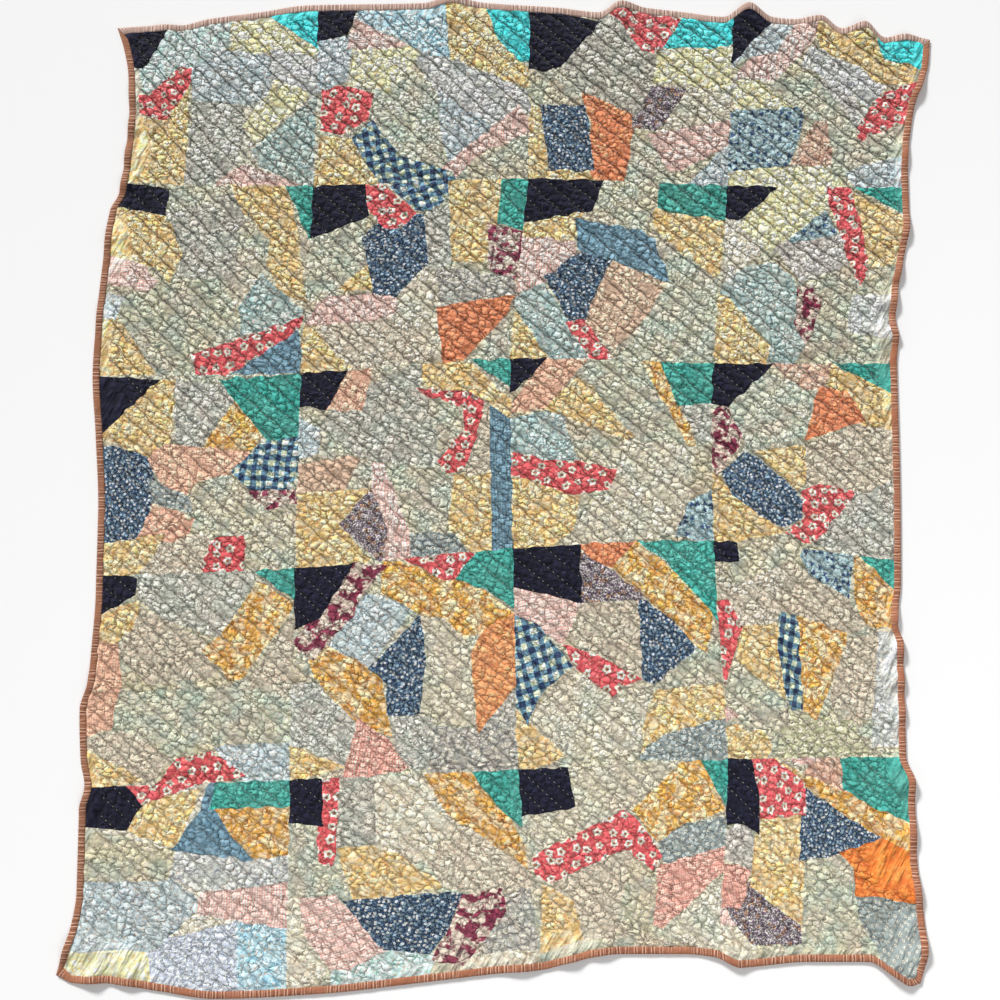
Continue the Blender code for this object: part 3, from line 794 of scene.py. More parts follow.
# %% The scraps of each block
CUTTING_LIST = """
block 1 1
cr; gl 14,19 25,22 26,27 22,41 10,41; sg 14,15 14,19 13,41 0,41 0,23 8,24;
yf 2,24 8,24 13,15 13,40 0,41; pb 14,11 19,7 32,11 31,19 27,22 14,20;
mt 9,0 23,1 23,7 19,8 14,12 3,18 2,10; rd 11,11 14,11 14,15 8,25 2,23 2,18 4,18;
yl 23,1 28,0 41,9 41,12 31,10 22,8; lw 31,9 41,12 41,21 37,21 31,17;
yl 32,16 39,20 28,31 25,27; aq 40,20 41,41 29,36 27,32 35,25;
pc 20,39 26,35 30,37 39,40 40,41 19,41; tb 28,-1 40,-1 40,10; nv -1,-1 11,0 3,11 -1,10;
block 1 2
sg; yf 1,29 7,30 14,40 0,41; sa 11,20 15,17 24,19 26,28 25,39 13,40 11,27;
lw 17,10 25,12 40,20 41,24 33,29 23,21; pb 23,20 33,28 25,36 23,26;
pc 38,23 41,29 31,34 26,40 24,37 33,28; sg 31,34 41,29 41,41 26,41;
yl 7,9 17,9 20,11 16,17 14,20 6,18; pb 0,8 7,7 6,17 0,20; rd 1,19 5,18 11,20 10,26 5,29 1,28;
gg 7,30 11,26 16,34 21,36 26,38 27,41 13,41; la 8,-1 24,-1 25,5 26,13 21,12 16,8 7,4;
pc 7,3 17,9 16,10 6,10; yf 24,-1 26,-1 31,-1 37,12 41,16 41,20 33,16 25,13;
tb 31,-1 41,0 41,13 38,13 34,8; nv 0,-1 8,-1 6,7 0,8;
block 1 3
sg; pb 39,31 41,31 41,41 31,41; yf 0,23 3,23 5,38 13,38 15,41 -1,41;
sa 20,28 28,37 31,41 17,41; or 9,19 14,20 21,25 20,31 19,41 15,41 12,39 12,26;
ca 2,23 11,23 13,38 4,38; sg 0,16 10,19 10,23 0,23; yl 25,9 41,7 41,18 24,17;
pp 21,18 31,18 29,24 25,28 20,28; cr 31,18 41,19 41,26 26,28; pc 23,29 40,25 40,31 32,36 28,38;
gl 13,2 15,0 22,9 25,11 24,18 21,25 9,19 6,14; rd 15,1 18,-1 27,0 30,2 27,8 25,10 22,10;
tb 30,1 41,0 40,7 26,9; nv -1,0 14,2 6,14 3,15 -1,15;
block 1 4
sg; yl 0,36 22,35 27,41 -1,41; pb 25,36 39,32 41,41 29,41; yl 0,17 6,15 15,21 1,24;
sa 6,16 15,13 19,13 29,28 38,24 39,30 23,38 21,26; pk 18,24 21,24 23,35 13,35;
br -1,23 14,21 16,23 15,28 13,35 -1,37; yf 16,1 29,0 31,7 38,8 38,13 31,13 18,7;
lw 16,7 22,8 33,14 30,20 14,11; gm 18,14 22,15 30,21 29,27; rd 39,12 39,23 28,29 28,25 32,16;
pc 12,0 17,-1 17,5 9,15 0,16 6,8; pb 7,1 13,0 9,8 0,13 0,11; tb 28,-1 32,0 41,-1 40,9 31,6;
nv -1,0 3,-1 8,1 2,11 -1,12;
block 2 1
sg; sa 11,22 14,20 26,20 27,26 18,36 11,39 3,28 5,24;
gl 10,7 25,1 27,6 31,16 26,20 14,20 15,15; yf 23,0 35,0 38,12 40,25 35,23 26,6;
sg 27,6 32,12 32,16 26,16 25,12; cr 26,15 32,15 32,25 26,27 25,22;
aq 31,19 40,27 39,29 28,32 27,26; ch 39,30 41,41 24,41; rd 18,36 40,28 39,31 25,41 19,41;
sa 10,39 19,36 20,41 11,41; yf 0,29 4,28 13,41 0,41; pb -1,23 5,24 4,29 -1,28;
pc -1,15 6,15 11,21 9,23 -1,21; yf -1,5 11,7 15,15 13,21 10,18 -1,15; tl 34,-1 41,-1 40,12;
nv -1,0 10,1 11,7 -1,5;
block 2 2
sg; yf -1,29 2,30 6,36 11,41 -1,41; cr 17,25 21,17 25,20 27,39 18,38;
cd 2,30 18,28 25,39 11,41 6,36; yf 3,23 11,17 14,23; pc 3,24 17,24 18,28 14,30 0,30;
sa -1,11 11,6 10,12 12,17 3,25 -1,25; ca 10,12 12,9 21,7 23,18 17,25 13,24;
gg 13,-1 26,0 26,3 22,7 19,6; rd 9,0 12,-1 20,7 17,10 14,10 10,5; gl 21,7 26,5 28,18 23,20;
yf 25,-1 35,-1 35,19 27,18; bu 33,10 41,12 41,20 39,24 34,20; gp 24,19 39,22 41,27 26,28;
sg 31,41 39,30 41,41; or 25,28 40,26 39,30 30,41 27,40; tl 35,-1 41,-1 41,12 35,10;
nv 0,-1 10,0 11,7 -1,12;
block 2 3
sg; sa 23,11 40,20 41,41 20,41 30,22; yf -1,30 1,30 9,41 0,41; aq -1,27 5,23 16,40 8,41;
pc 0,13 10,13 11,18 6,23 0,26; yf 0,10 13,7 11,10 10,14 0,13;
ca 5,22 12,16 18,18 17,24 14,32 11,32; rd 10,32 14,31 20,40 20,41 16,41;
ch 10,9 21,9 26,13 30,22 28,22 18,18 11,16; tn 18,18 29,22 26,30 20,38 14,32 16,23;
yf 25,6 41,8 41,19 39,21 26,11; sg 14,0 26,0 26,5 23,11 11,9; tl 26,-1 41,-1 41,8 26,6;
nv -1,-1 15,0 13,7 0,10;
block 2 4
sg; sa 20,16 32,23 39,19 40,41 21,41; lw 30,25 39,25 39,35 29,33;
aq 2,19 11,17 16,21 20,35 17,41 9,39 0,26; yf -1,24 2,25 12,36 11,41 0,41;
bu 17,23 20,22 23,26 20,37 17,31; gm 10,13 26,11 29,18 18,22; br 12,10 21,4 25,11 15,13;
wc 0,7 4,8 9,14 1,22; yl 9,0 21,-1 26,1 17,10 10,15 3,9; yf 26,0 40,8 41,18 33,19;
rd 21,0 27,0 33,20 31,23 27,15; tl 28,0 41,0 41,8; nv -1,-1 11,0 3,8 -1,7;
block 3 1
sg; cd 10,37 15,33 22,32 24,35 22,40 8,41; gl 16,1 25,2 28,5 22,15 16,15;
yf 12,1 16,1 15,14 10,17 0,12; ca 0,14 6,15 11,17 12,26 9,32 6,34 -1,34;
gf 28,5 34,12 30,17 21,15; pe 10,17 14,14 31,16 29,20 20,22 18,25 14,24;
db 10,21 19,25 19,28 11,26; sn 11,26 20,29 19,32 15,34 8,33; bu 30,24 34,21 40,24 40,27 34,28;
gg 27,20 34,13 41,13 40,20 39,24 31,24; yf -1,34 14,32 8,41 -1,41;
rd 23,34 25,33 30,33 30,41 23,41 21,39; tl 24,1 41,0 41,13 34,14 28,6; nv -1,0 13,1 1,12 -1,12;
block 3 2
sg; tn 0,19 12,18 9,25 0,25; yf 0,25 14,25 8,32 15,41 0,40;
gl 8,6 23,-1 24,7 27,22 16,20 12,19 4,11; pb 0,9 4,12 4,17 0,18;
pc 14,20 16,20 22,38 20,41 16,41 14,25; pp 14,25 17,34 16,41 8,32; db 21,35 29,36 32,41 21,41;
yf 29,24 37,24 37,41 33,41 28,35; cd 34,8 37,10 37,24 31,25 34,16; bc 36,10 41,13 41,41 36,41;
yf 23,-1 31,-1 41,10 40,13 33,7 23,5;
rd 22,5 33,7 35,9 34,16 31,23 28,24 26,21 31,15 31,10 24,7; pe 8,-1 14,-1 12,9 5,8;
tl 31,-1 41,-1 41,7 36,3; nv -1,0 9,0 6,7 5,8 0,7;
block 3 3
sg; cr 13,23 25,17 37,19 35,32 32,39 21,40 9,40 11,37 19,28; yf 0,25 13,30 12,37 6,41 0,41;
br 40,29 41,41 32,39 35,32; aq 0,13 10,11 13,23 0,21; yf 13,4 19,8 25,17 23,18 6,11;
sa 13,0 25,0 37,19 25,18 17,8; gf 25,-1 30,-1 33,8 37,19 35,19; gl 33,9 41,8 41,18 37,18;
rd 0,20 6,22 15,23 21,25 19,29 12,30 0,25; pe 7,-1 15,0 10,7 7,11 -1,12;
tl 29,-1 41,-1 41,9 33,10; nv -1,0 8,-1 1,7 -1,8;
block 3 4
sg; gl 31,27 39,22 40,41 21,39; yf 0,25 2,26 5,31 16,37 0,41;
cd 19,18 34,12 40,13 40,23 33,27 19,27; yf 9,20 20,18 20,26 18,28;
ca 2,25 7,20 9,21 18,28 20,32 19,34 15,36 11,35 4,30;
rd 19,28 23,26 31,27 27,32 22,38 19,39 15,37 19,34; bu -1,13 2,9 5,11 7,17 1,26 -1,22;
sa 3,9 11,2 23,6 20,16 8,20; yf 25,0 40,6 40,14 32,13 23,3; or 23,5 29,6 33,12 20,17 22,8;
pk 12,0 26,0 24,5 20,6; tl 26,0 40,0 40,7; nv -1,0 13,0 3,10 -1,9;
block 4 1
sg; sa 6,22 26,22 32,33 7,32; gl 7,0 33,0 28,10 26,13 14,9 9,5; yf 0,32 12,39 0,41;
cd -1,31 8,29 17,35 13,40; sa 26,22 41,20 41,34 31,33; pb 25,33 40,33 41,40 31,40;
cd 9,6 22,13 25,20 12,21 5,15; pe -1,12 5,13 7,22 6,29 -1,31; yf -1,7 9,5 8,10 5,13 -1,12;
cd 34,17 40,9 41,21 31,23; gf 33,2 40,7 37,12 33,17 30,21 28,21 22,15 23,14 26,12;
rd 13,40 15,39 18,35 25,34 32,39 26,40; tl 32,0 41,0 41,7; nv -1,0 6,0 8,1 8,4 0,8;
block 4 2
sg; yf 0,33 4,32 10,38 0,41; gl 17,28 25,29 25,39 20,39; gp 24,31 33,32 40,25 40,41 24,40;
cr 23,11 28,12 34,19 33,32 22,29; pb 13,6 22,9 14,20 6,16 7,13;
gl -1,22 5,22 12,30 10,38 -1,33; gf 3,18 6,15 16,21 18,33 12,30 8,26 4,21;
ca 23,11 24,19 23,29 17,29 17,23 14,20;
gf 16,0 21,1 27,5 31,5 40,12 36,15 31,16 27,12 23,11 16,6; sc 12,29 17,33 21,39 9,41 11,34;
of 35,14 40,12 40,25 33,33 32,18; bu 11,0 17,1 13,6 11,10 4,18 1,16 0,14 5,8;
rd 20,0 33,0 30,5 27,5; tl 29,5 33,0 41,0 40,11 34,7; nv -1,-1 11,0 5,10 0,12;
block 4 3
sg; cr 11,22 18,28 25,27 24,38 6,38 2,31; yf -1,27 2,31 9,38 0,41;
yf 26,27 40,26 41,32 27,35 23,38 24,32; sa 26,25 35,21 40,26 26,27; db 40,32 41,41 22,39 27,35;
cd 12,10 25,11 25,25 10,17; pc -1,7 13,10 11,15 9,18 -1,12;
gg -1,12 4,14 11,22 5,26 2,32 -1,27; sg 36,12 40,15 40,27 36,21;
gf 24,0 33,7 39,14 37,21 33,18 26,11 19,5; ca 24,10 31,15 35,20 26,26 24,25;
rd 9,18 15,20 24,25 20,26 18,28 16,26 11,22; pp 12,1 16,3 21,7 25,10 24,11 12,11;
or 12,0 24,0 19,5 15,3; tl 24,0 41,0 40,15 30,4; nv -1,0 13,0 13,11 -1,7;
block 4 4
sg; sg 13,31 28,33 32,39 11,39; pu 13,31 28,33 33,41 10,41; yf 0,34 6,33 10,38 7,41 -1,41;
sa 3,22 13,28 14,34 4,35 0,28; yf 4,16 13,15 13,29 3,22; cd 27,17 36,15 33,33 23,30;
lw 35,15 41,15 41,38 32,38; cd 16,3 29,9 33,14 27,17 12,13; cd -1,8 16,3 13,10 13,15 4,16;
gf 16,13 28,16 26,21 20,33 17,31; gg 13,13 17,13 17,23 17,31 14,31 13,27 12,20;
gf 30,0 32,-1 40,6 40,14 33,14 30,9; br 17,-1 30,-1 29,9 20,5; sg 5,0 19,-1 18,2 5,8 -1,8;
pc 0,30 3,32 0,33; rd -1,12 2,11 5,16 3,20 0,27 -1,22; tl 31,0 41,-1 40,7; nv 0,0 5,0 5,4 -1,4;
block 5 1
wc; wd 15,31 31,26 32,41 16,41; yl 0,34 15,32 17,41 -1,41; pb 1,20 18,18 25,23 16,33 0,34;
la 31,26 41,27 41,41 32,41; lw 18,13 41,14 40,20 25,21 17,18; pc 24,21 41,19 41,28 31,26 24,25;
sg -1,8 19,13 18,19 1,20; gf 25,5 40,5 41,14 33,15; yf 11,3 23,1 19,13 9,9;
ch 26,-1 26,5 30,11 34,15 18,13 23,5 24,1; rd 7,0 13,0 23,0 11,4; tl 26,-1 41,0 40,5 25,5;
nv -1,0 6,-1 8,0 12,4 9,9 -1,8;
block 5 2
sg; wc 28,36 41,35 41,41 24,41; mt 7,36 16,33 23,35 21,41 7,41; wc -1,22 3,22 7,36 0,41;
mt 5,17 10,17 11,23 4,21; sa 0,8 6,9 10,17 11,23 0,22; yf 8,12 16,13 26,22 11,24;
gp 31,24 41,22 41,36 30,36; cd 30,9 41,19 41,23 33,25 25,22 23,17;
wc 9,0 23,-1 30,9 23,17 14,13; gl 8,0 15,-1 15,13 8,13;
gf 23,-1 31,-1 38,10 41,18 40,20 33,13 27,8; rd 5,0 9,0 8,16 7,17 5,15;
pc 2,22 8,22 16,33 10,36 7,36 3,29; ca 9,23 26,23 29,24 28,27 25,31 22,35 15,33;
bu 25,31 28,24 35,23 35,28 30,34 27,38 22,36; tl 31,-1 41,0 41,12 37,9 34,4;
nv -1,0 6,0 6,9 0,8;
block 5 3
sg; cr 8,-1 33,-1 24,7 19,9 2,16 1,9 9,8; cr 41,22 41,40 27,36; cd 4,23 20,17 25,22 26,36 8,37;
sg 21,17 26,24 26,36 16,36; yf 2,23 4,24 8,28 9,36 0,37;
db 26,16 29,13 41,11 41,17 29,21 27,20; sc 26,21 41,17 41,21 33,30 27,35 25,34;
gf 21,9 31,0 35,0 40,10 30,13 26,16 24,14; rd 1,17 19,9 21,10 27,19 25,22 19,17 4,23 1,21;
tl 34,-1 41,-1 41,11; nv 0,0 9,-1 10,8 0,9;
block 5 4
sg; wc -1,33 5,31 8,36 7,41 -1,41; pc 0,29 4,28 5,32 -1,34; pp 1,30 6,24 17,33 20,37 7,36 3,32;
sa 16,19 25,18 27,27 30,36 17,38; yf 6,11 17,10 17,33 10,28 6,25 6,16; sc 0,21 6,21 4,29 0,30;
gm 0,14 4,12 6,16 6,22 0,20; db 27,27 41,26 41,41 32,39 28,33; pc 13,-1 23,-1 20,2 14,1;
pk 22,-1 26,-1 26,7 16,3; ca 16,5 33,15 22,19 16,20 16,12;
gf 8,-1 14,2 24,6 32,9 40,12 40,18 33,15 27,12 16,5; tl 25,-1 40,0 41,13 30,9 25,6;
ob 24,18 33,15 40,18 41,26 27,27 27,21; rd 5,0 8,-1 13,2 17,5 17,11 6,12;
nv -1,0 5,0 7,8 7,15 4,13 0,13;
"""
print(CUTTING_LIST.count(";"), "scraps on the list")


# %% Reading the list
def read_list(text):
    """{(row, column): [(code, outline in metres), ...]}"""
    blocks = {}
    for line in text.strip().splitlines():
        if line.startswith("block"):
            row, column = (int(n) - 1 for n in line.split()[1:])
            blocks[row, column] = scraps = []
            continue
        for scrap in filter(str.strip, line.split(";")):
            code, *corners = scrap.split()
            corners = corners or ("0,0", "40,0", "40,40", "0,40")
            outline = [[int(n) * BLOCK / 40 for n in c.split(",")] for c in corners]
            scraps.append((code, np.array(outline)))
    return blocks


blocks = read_list(CUTTING_LIST)
count = sum(len(scraps) for scraps in blocks.values())
print(len(blocks), "blocks,", count, "scraps,", round(count / len(blocks), 1), "a block")

# %% [markdown]
# ## 5. Piecing and puckering the face
# Each scrap could be a mesh of its own, but then the puckers would open the seams. So a
# block starts as one square, and a scrap is let in by cutting along each side of its
# outline and marking the faces inside. Then the whole block is cut up finely, so that it
# can take the puffs, and every point is moved to where it lies in the finished quilt.
# The edges turn under as a short seam allowance.

# %% Letting in the scraps
grain = 4 * MM  # how finely the face is cut up to take its puckers
TOUCH = 1e-6                           # two places closer than this, in m, are the same
WELD = 0.35 * MM                       # points closer than this become one


def is_inside(outline, point):
    x, y = point
    hit = False
    for (x1, y1), (x2, y2) in zip(outline, np.roll(outline, -1, 0)):
        if (y1 > y) != (y2 > y) and x < (x2 - x1) * (y - y1) / (y2 - y1) + x1:
            hit = not hit
    return hit


def cut_along(bm, faces, place, across):
    """Cut these faces along the line through `place` that runs square to `across`."""
    parts = dict.fromkeys(part for f in faces for part in (f, *f.edges, *f.verts))
    bmesh.ops.bisect_plane(
        bm, geom=list(parts), plane_co=(*place, 0), plane_no=(*across, 0), dist=TOUCH
    )


def reaches(face, low, high):
    """Whether any of the face may lie in the box from low to high."""
    points = np.array([v.co[:2] for v in face.verts])
    return (points.max(0) > low).all() and (points.min(0) < high).all()


def piece_block(scraps):
    """A flat square of scraps, cut up to the grain."""
    bm = bmesh.new()
    mark = bm.faces.layers.int.new("scrap_number")
    square = ((0, 0), (BLOCK, 0), (BLOCK, BLOCK), (0, BLOCK))
    bm.faces.new([bm.verts.new((x, y, 0)) for x, y in square])
    for number, (_, outline) in enumerate(scraps):
        for one, two in zip(outline, np.roll(outline, -1, 0)):
            side = (two - one) / np.linalg.norm(two - one)
            low, high = np.minimum(one, two) - 10 * TOUCH, np.maximum(one, two) + 10 * TOUCH
            near = [f for f in bm.faces if reaches(f, low, high)]
            if near:
                cut_along(bm, near, one, (-side[1], side[0]))
        for face in bm.faces:
            if is_inside(outline, face.calc_center_median()[:2]):
                face[mark] = number
    for axis in (0, 1):
        ahead = bm.faces[:]
        for at in np.linspace(0, BLOCK, round(BLOCK / grain) + 1)[1:-1]:
            ahead = [f for f in ahead if max(v.co[axis] for v in f.verts) > at + TOUCH]
            place, across = [0.0, 0.0], [0.0, 0.0]
            place[axis], across[axis] = at, 1.0
            before = len(bm.faces)
            cut_along(bm, ahead, place, across)
            bm.faces.ensure_lookup_table()
            ahead += [bm.faces[n] for n in range(before, len(bm.faces))]
    bmesh.ops.remove_doubles(bm, verts=bm.verts, dist=WELD)
    return bm


print(f"the cloth is cut up every {grain / MM:.1f} mm")


# %% From a flat mesh to a piece in its place
SHORT_OF_EDGE = 2 * MM  # the face and the backing stop inside the fold of the binding


def keep_in(a, b, by):
    """Blocks across and down, drawn in from the outline by that many metres."""
    by = by / BLOCK
    return by + a * (ACROSS - 2 * by) / ACROSS, by + b * (DOWN - 2 * by) / DOWN


def corners_of(mesh):
    """The point at each corner of each face, face after face."""
    corner = np.empty(len(mesh.loops), int)
    mesh.loops.foreach_get("vertex_index", corner)
    return corner


def put_out(mesh, places, uv=None):
    """Shapes a mesh by moving its points to these places, and shows it as a piece."""
    mesh.vertices.foreach_set("co", np.asarray(places, np.float32).ravel())
    mesh.polygons.foreach_set("use_smooth", np.ones(len(mesh.polygons), bool))
    if uv is not None:
        mesh.uv_layers.new(name="cut").data.foreach_set("uv", uv.ravel())
    mesh.update()
    piece = bpy.data.objects.new(mesh.name, mesh)
    bpy.context.scene.collection.objects.link(piece)
    return piece


print("the face stops", SHORT_OF_EDGE / MM, "mm short of the outer edge")


# %% Cotton for each scrap
def give_cottons(mesh, scraps, number, flat, random):
    """Gives each scrap its cotton, and says where on the cloth each corner is cut from."""
    corners = np.empty(len(mesh.polygons), int)
    mesh.polygons.foreach_get("loop_total", corners)
    owner = np.repeat(number, corners)
    turn = random.uniform(-0.35, 0.35, len(scraps))
    turn += random.integers(0, 4, len(scraps)) * math.pi / 2
    x, y = flat[corners_of(mesh)].T
    cos, sin = np.cos(turn[owner]), np.sin(turn[owner])
    start = random.uniform(0, 3, (len(scraps), 2))[owner]
    tone = mesh.attributes.new("scrap", "FLOAT", "FACE")
    tone.data.foreach_set("value", random.uniform(0, 1, len(scraps))[number])
    codes = sorted({code for code, _ in scraps})
    for code in codes:
        mesh.materials.append(cottons[code])
    which = np.array([codes.index(code) for code, _ in scraps])[number]
    mesh.polygons.foreach_set("material_index", which)
    return np.column_stack([x * cos - y * sin, x * sin + y * cos]) + start


worn = sorted({code for scraps in blocks.values() for code, _ in scraps})
print("cottons used:", len(worn), "of", len(cottons))

# %% Puckering a block into its place
SEAM_DIP, TURN_UNDER = 0.6 * MM, 1.6 * MM  # how far seams and cut edges go down
OVER_BACKING = (1.2 * MM, 0.8 * MM)  # the least height of the face, and of its turned edge
SEAM_PULL = 1.6 * MM                 # how far the puffs draw a seam out of line


def sew_block(row, column, scraps):
    """One block, pieced, puckered and laid where it belongs."""
    bm = piece_block(scraps)
    mark = bm.faces.layers.int["scrap_number"]
    seam = np.array([len({f[mark] for f in v.link_faces}) > 1 for v in bm.verts])
    rim = [e for e in bm.edges if e.is_boundary]
    bmesh.ops.extrude_edge_only(bm, edges=rim)
    flat = np.array([v.co[:2] for v in bm.verts])
    skirt = np.arange(len(flat)) >= len(seam)  # the points of the turned edge come last
    seam = np.concatenate([seam, np.zeros(skirt.sum(), bool)])
    number = np.array([f[mark] for f in bm.faces])
    mesh = bpy.data.meshes.new(f"block_r{row + 1}c{column + 1}")
    bm.to_mesh(mesh)
    bm.free()
    mesh.flip_normals()

    a, b = keep_in(column + flat[:, 0] / BLOCK, row + flat[:, 1] / BLOCK, SHORT_OF_EDGE)
    place = lie(a, b)
    in_row, net = row_at(place), net_at(place)
    beside, under = np.minimum(a, ACROSS - a) * BLOCK, np.minimum(b, DOWN - b) * BLOCK
    height, deep, kept = face_height(place, beside, under, in_row, net)
    for axis in (0, 1):  # the puffs pull the seams a little out of line
        place[:, axis] += SEAM_PULL * kept * drift(place, 0.022, 31 + axis)
    rim_now = (flat < TOUCH).any(1) | (flat > BLOCK - TOUCH).any(1)
    height -= np.where(seam | rim_now, SEAM_DIP, 0) + np.where(skirt, TURN_UNDER, 0)
    height = np.maximum(height, np.where(skirt, OVER_BACKING[1], OVER_BACKING[0]))

    creases = mesh.attributes.new("net", "FLOAT_VECTOR", "POINT")
    creases.data.foreach_set("vector", np.column_stack([net, deep]).ravel())
    for name, values in (("kept", kept), ("row", in_row)):
        mesh.attributes.new(name, "FLOAT", "POINT").data.foreach_set("value", values)
    random = np.random.default_rng(100 * row + column)
    uv = give_cottons(mesh, scraps, number, flat, random)
    return put_out(mesh, np.column_stack([place, height]), uv)


face = [sew_block(row, column, scraps) for (row, column), scraps in blocks.items()]
triangles = [sum(len(p.vertices) - 2 for p in o.data.polygons) for o in face]
print("triangles a block:", min(triangles), "to", max(triangles), "total", sum(triangles))

# %% [markdown]
# ## 6. Quilting thread
# Thick white thread in long running stitches, one every 12 mm, showing for 5 or 6 mm. It
# could be one long curve in and out of the cloth, but only the tops show. So each stitch
# is a tapered bar of a few faces, dropped on to the face where it dips along its row, and
# all of them are joined in one mesh, because Blender draws one big mesh much faster than
# thousands of small ones.


# %% A tree to drop stitches on
def all_faces(objects):
    """(a tree to drop things on, how far each of its faces is quilted)"""
    points, faces, kept, start = [], [], [], 0
    for o in objects:
        co = np.empty(len(o.data.vertices) * 3)
        o.data.vertices.foreach_get("co", co)
        far = np.empty(len(o.data.vertices), np.float32)
        o.data.attributes["kept"].data.foreach_get("value", far)
        points.append(co.reshape(-1, 3))
        faces += [[start + v for v in p.vertices] for p in o.data.polygons]
        kept += [far[p.vertices[0]] for p in o.data.polygons]
        start += len(points[-1])
    return BVHTree.FromPolygons(np.concatenate(points).tolist(), faces), kept


face_tree, face_kept = all_faces(face)
print(len(face_kept), "faces to drop on")

# %% Where each stitch goes
STITCH, STITCH_PITCH = 5.5 * MM, 12 * MM
ROWS_OUT, HALF_LENGTH = 60, 1.6  # more rows than cross the quilt, and longer, in m


def stitch_rows():
    """(the start, the end) of every stitch, in rows that run past the quilt."""
    random = np.random.default_rng(42)
    starts, ends = [], []
    for number in range(-ROWS_OUT, ROWS_OUT + 1):
        v = np.arange(-HALF_LENGTH, HALF_LENGTH, STITCH_PITCH)
        v = v + random.uniform(0, STITCH_PITCH)
        v = v + random.uniform(-0.8, 0.8, len(v)) * MM
        half = STITCH / 2 * random.uniform(0.8, 1.1, len(v))
        starts.append(on_row(number, v - half))
        ends.append(on_row(number, v + half))
    return np.concatenate(starts), np.concatenate(ends)


starts, ends = stitch_rows()
print(len(starts), "stitches, before any off the quilt are dropped")

# %% Stitches
THREAD = 0.8 * MM
PROUD, ENDS_SINK, MOST_SAG = 0.62 * THREAD, 0.2 * MM, 0.3 * MM
PAST_THE_QUILT = (0.95, 1.1)  # m from the middle
QUILTED = 0.7                 # no stitch where the cloth is quilted less than this


def stitch(one, two):
    """The eight points of a stitch between two places, or none where there is no quilting."""
    if (abs(one) > PAST_THE_QUILT).any():
        return []
    sites = [one + (two - one) * t for t in (0, 0.25, 0.75, 1)]
    hits = [face_tree.ray_cast((*p, 0.1), (0, 0, -1)) for p in sites]
    if any(hit[0] is None or face_kept[hit[2]] < QUILTED for hit in hits):
        return []
    low, left, right, high = (hit[0].z for hit in hits)
    side = np.array([-(two - one)[1], (two - one)[0]])
    side = side / np.linalg.norm(side) * THREAD / 2
    top = max(left, right, (low + high) / 2)
    made = [(*sites[0], low - ENDS_SINK)]
    for p, z in ((sites[1], left), (sites[2], right)):
        z = max(z, top - MOST_SAG)
        made += [(*(p + side), z), (*p, z + PROUD), (*(p - side), z)]
    return [*made, (*sites[3], high - ENDS_SINK)]


points = [point for one, two in zip(starts, ends) for point in stitch(one, two)]
faces = []
for n in range(0, len(points), 8):
    for k in range(3):
        a, b = n + 1 + k, n + 1 + (k + 1) % 3
        faces += [(n, b, a), (a, b, b + 3, a + 3), (n + 7, a + 3, b + 3)]

# Glazed cotton thread catches a little more light than the cloth around it.
strand = Cloth("cotton_thread", 0.7)
ply = blots(strand, 1.2, 0.5, 0.2, strand.place)
strand.end(over(strand, ply, "D9D4C6", "BDB6A6"))
mesh = bpy.data.meshes.new("quilting_thread")
mesh.from_pydata(points, [], faces)
mesh.materials.append(strand.material)
thread = put_out(mesh, points)
print(len(points) // 8, "stitches")

# %% [markdown]
# ## 7. Backing
# One plain muslin sheet, flat on the floor in the middle and turned up inside the binding.
# It could be as fine as the face, but nothing of it shows except under a lifted edge, so a
# coarse grid follows the outline and the ripples well enough.

# %% Muslin sheet
# Muslin is a loose, unbleached weave, so it looks flat and slightly flecked.
muslin = Cloth("cotton_muslin", 0.9)
fleck = blots(muslin, 4, 0.3, 0.1)
slub = muslin.add("Math MULTIPLY", blots(muslin, 9, 0.5, 0.3), 0.6 * MM)
muslin.end(over(muslin, fleck, "E4DECD", "D5CDB8"), slub)


def cloth_grid(name, material, places, uv, turned=False):
    """A sheet with a point at each of these places, which come in rows."""
    rows, columns = places.shape[:2]
    bm = bmesh.new()
    bmesh.ops.create_grid(bm, x_segments=columns - 1, y_segments=rows - 1)
    mesh = bpy.data.meshes.new(name)
    bm.to_mesh(mesh)
    bm.free()
    if turned:
        mesh.flip_normals()
    mesh.materials.append(material)
    return put_out(mesh, places, uv.reshape(-1, 2)[corners_of(mesh)])


COLUMNS, ROWS = 111, 128            # a point about every 16 mm
OFF_FLOOR, TURNED_UP = 0.4 * MM, 1.5 * MM
TURN_FROM, TURN_OVER = 13, 12       # mm in from the edge
grid = np.meshgrid(np.linspace(0, ACROSS, COLUMNS), np.linspace(0, DOWN, ROWS))
a, b = grid[0].ravel(), grid[1].ravel()
inset = np.minimum.reduce([a, ACROSS - a, b, DOWN - b]) * BLOCK / MM
place = lie(*keep_in(a, b, SHORT_OF_EDGE))
z = OFF_FLOOR + TURNED_UP * (1 - ease((inset - TURN_FROM) / TURN_OVER)) + lifted(place)
places = np.column_stack([place, z]).reshape(ROWS, COLUMNS, 3)
backing = cloth_grid("backing", muslin.material, places, np.column_stack([a, b]) * BLOCK)
print("backing:", [round(v, 3) for v in backing.dimensions], "m")

# %% [markdown]
# ## 8. Binding
# A straight-grain strip is folded round each edge, and mitred at the corners. Its pin
# stripes run across it, so they come out as short ticks. A bevelled curve could follow the
# edge, but its ends would be square and its section round. So a grid is folded instead:
# one row of points for each step along the edge, and one column for each fold point.

